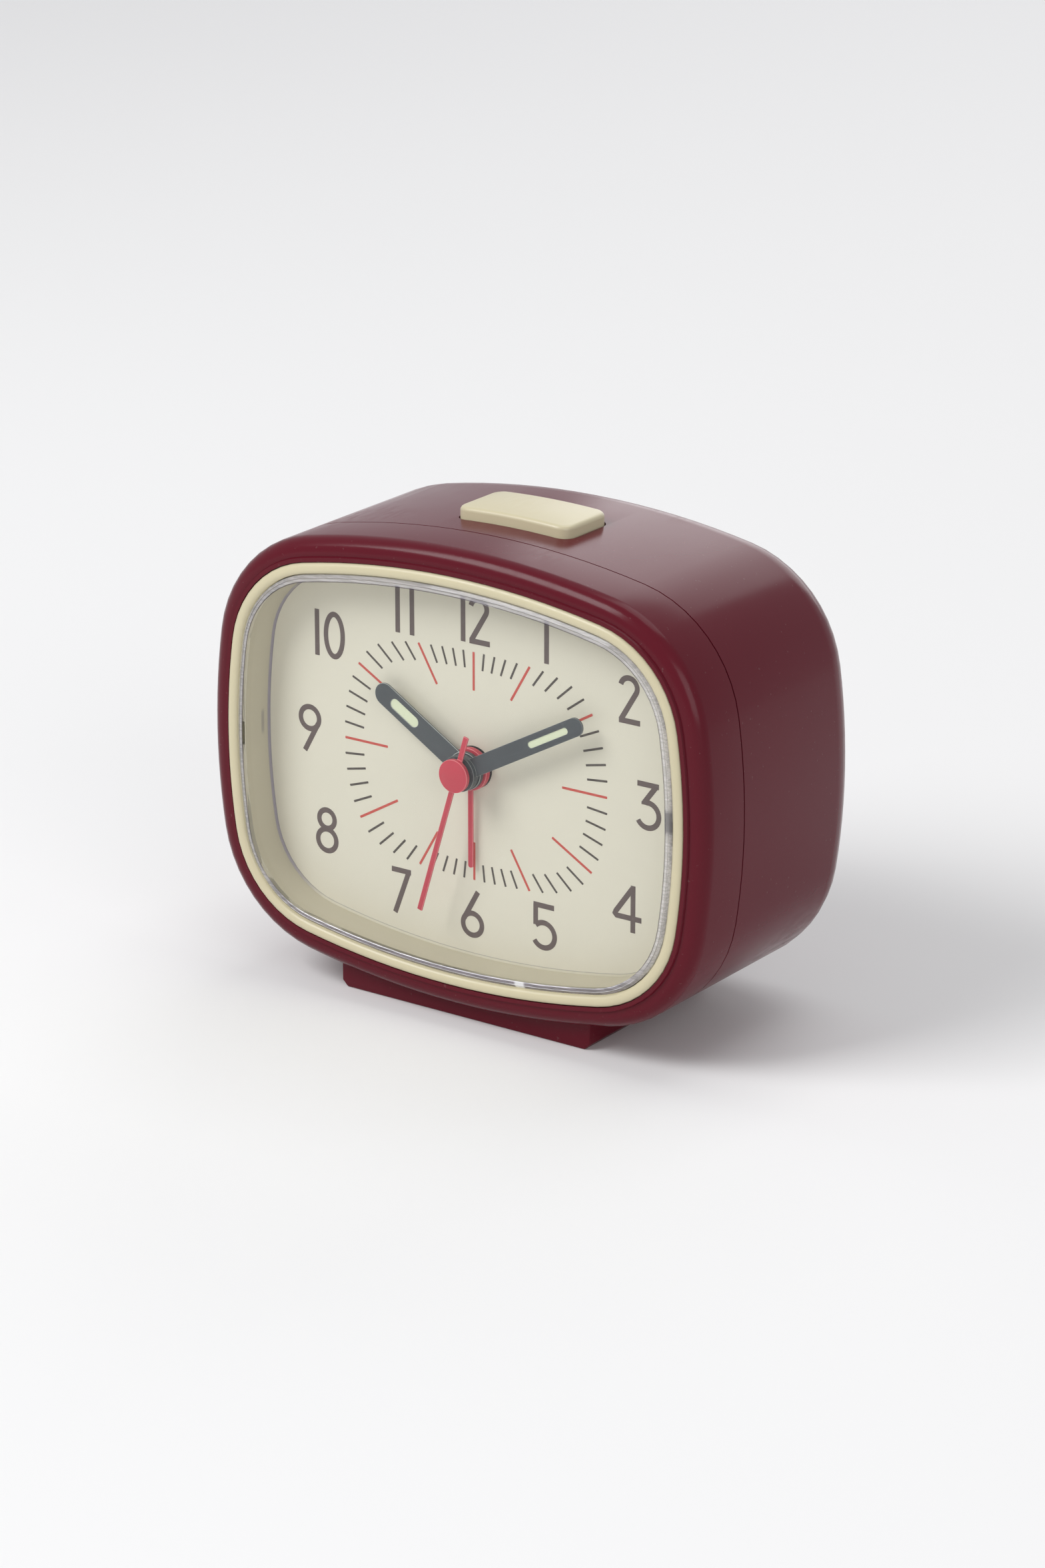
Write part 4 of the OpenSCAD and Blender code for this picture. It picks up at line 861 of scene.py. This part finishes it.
class CLOCK_OT_lens(bpy.types.Operator):
    """Model the clear lens's rim and groove, and finish it"""

    bl_idname = "clock.lens"
    bl_label = "Lens"

    def execute(self, context):
        clear, rim_slot, edge_slot = 0, 1, 2
        sizes = context.scene.clock_sizes
        lens = skin_of("lens")
        # The rim and edge finishes carry painted reflection and painted shade
        for finish in ("lens_rim_painted_light", "lens_edge_painted_light"):
            lens.data.materials.append(FINISH[finish])
        front = min(v.co.y for v in lens.data.vertices)
        rounding, flat = front + 0.6 * MM, front + 0.01 * MM
        picked(lens, lambda face: face.normal.y < -0.5 and face.center.y < rounding)
        assigned(lens, rim_slot)
        picked(lens, lambda face: face.normal.y < -0.99 and face.center.y < flat)
        assigned(lens, edge_slot)
        bpy.ops.mesh.inset(thickness=sizes.groove)
        assigned(lens, rim_slot)
        bpy.ops.mesh.inset(thickness=sizes.rim)
        assigned(lens, edge_slot)
        for way in (1, -1):
            bpy.ops.mesh.inset(thickness=sizes.groove)
            bpy.ops.transform.translate(value=(0, way * sizes.groove, 0))
        assigned(lens, clear)
        bpy.ops.object.mode_set(mode="OBJECT")
        bpy.ops.object.shade_smooth_by_angle(angle=math.radians(20))
        return {"FINISHED"}


class CLOCK_OT_solids(bpy.types.Operator):
    """Give every solid its finish, those inside the case among them"""

    bl_idname = "clock.solids"
    bl_label = "Movement and all other solids"

    def execute(self, context):
        for node, obj in frame["nodes"].items():
            coat(obj, SLOT_OF[node])
        return {"FINISHED"}


# --- Stage


class CLOCK_OT_stage(bpy.types.Operator):
    """Set up the floor, the lamps, the world and the camera"""

    bl_idname = "clock.stage"
    bl_label = "Stage"

    def execute(self, context):
        sizes = context.scene.clock_sizes
        deselect()
        bpy.ops.mesh.primitive_plane_add(size=FLOOR)
        floor = context.object
        floor.name = "floor"
        paper = Finish("floor_paper", specular_ior_level=0.1)
        paper.feed("Base Color", paper.blend(paper.noise(3), (0.86, 0.86, 0.86, 1), (0.88, 0.88, 0.88, 1)))
        paper.feed("Roughness", 0.85 + paper.noise(8) * 0.1)
        far = paper.node("ShaderNodeVectorMath", {"operation": "LENGTH"}, {0: paper.place}, "Value")
        paper.feed("Alpha", 1 - paper.ramp(far, *FADE))
        floor.data.materials.append(paper.material)
        for name, place, size, power in (
            ("key_lamp", (-0.75, -1.1, 1.25), 0.9, 21),
            ("fill_lamp", (1.5, -0.9, 0.7), 1.1, 9),
            ("top_lamp", (0.1, 0.5, 1.5), 1.0, 6),
            ("back_lamp", (-0.4, 1.6, 0.7), 1.2, 6.5),
        ):
            deselect()
            bpy.ops.object.light_add(type="AREA", location=place)
            lamp = context.object
            lamp.name = name
            lamp.data.size = size
            lamp.data.energy = power
            lamp.rotation_euler = (HANDS_AXIS - Vector(place)).to_track_quat("-Z", "Y").to_euler()
        world = bpy.data.worlds.new("studio")
        context.scene.world = world
        world.use_nodes = True
        air = world.node_tree.nodes["Background"]
        air.inputs["Color"].default_value = (0.97, 0.97, 1, 1)
        sky = Recipe(world.node_tree)
        background = sky.seen("Camera") + sky.seen("Glossy") + sky.seen("Transmission")
        sky.tree.links.new((background * SKY_SHOWN + SKY_LIGHT).socket, air.inputs["Strength"])
        deselect()
        bpy.ops.object.camera_add()
        camera = context.object
        camera.name = "photo_camera"
        camera.data.sensor_fit = "AUTO"
        camera.data.sensor_width = SENSOR_MM
        camera.data.lens = sizes.lens_mm
        camera.matrix_world = camera_place(sizes)
        context.scene.camera = camera
        context.scene.view_settings.view_transform = "Standard"
        return {"FINISHED"}


class CLOCK_PT_panel(bpy.types.Panel):
    """The clock's pieces, sizes and colours."""

    bl_idname = "CLOCK_PT_panel"
    bl_label = "Travel alarm clock"
    bl_space_type = "VIEW_3D"
    bl_region_type = "UI"
    bl_category = "Clock"

    def draw(self, context):
        for step in STEPS:
            self.layout.operator(step.bl_idname)
        for group in (context.scene.clock_sizes, context.scene.clock_colours):
            for name in group.__annotations__:
                self.layout.prop(group, name)


STEPS = (CLOCK_OT_solids, CLOCK_OT_case, CLOCK_OT_hands, CLOCK_OT_controls, CLOCK_OT_minute_track,
         CLOCK_OT_numerals, CLOCK_OT_lens, CLOCK_OT_stage)
CLASSES = (ClockSizes, ClockColours) + STEPS + (CLOCK_PT_panel,)


def register():
    for cls in CLASSES:
        bpy.utils.register_class(cls)
    bpy.types.Scene.clock_sizes = PointerProperty(type=ClockSizes)
    bpy.types.Scene.clock_colours = PointerProperty(type=ClockColours)


def unregister():
    del bpy.types.Scene.clock_colours
    del bpy.types.Scene.clock_sizes
    for cls in reversed(CLASSES):
        bpy.utils.unregister_class(cls)


def write_points(sizes):
    """Works out how far each feature shows from its image point, by the finished vertices that show, and keeps
    nothing of it.
    """
    cover = [tree_of(bpy.data.objects[node + "_skin"]) for node in
             ("front_frame", "bezel_ring", "dial_surround", "rear_shell", "snooze_button")]
    eye = camera_place(sizes).translation
    clear_of_itself = 0.1 * MM

    def shown(name):
        spots = []
        for vertex in bpy.data.objects[name].data.vertices:
            way = (eye - vertex.co).normalized()
            if not any(tree.ray_cast(vertex.co + way * clear_of_itself, way)[0] for tree in cover):
                spots.append(image_of(vertex.co, sizes))
        return spots

    for name, point in POINTS.items():
        if name in EDGES:
            piece, side, pick = EDGES[name]
            seen = [pick(spot[side] for spot in shown(piece))] * 2
        else:
            seen = [(min(row) + max(row)) / 2 for row in zip(*shown(name))]
        [None if want is None else round(got - want, 1) for got, want in zip(seen, point)]


def main():
    register()
    FINISH.update(finishes())
    for step in STEPS:
        group, name = step.bl_idname.split(".")
        getattr(getattr(bpy.ops, group), name)()
    write_points(bpy.context.scene.clock_sizes)


if __name__ == "__main__":
    main()
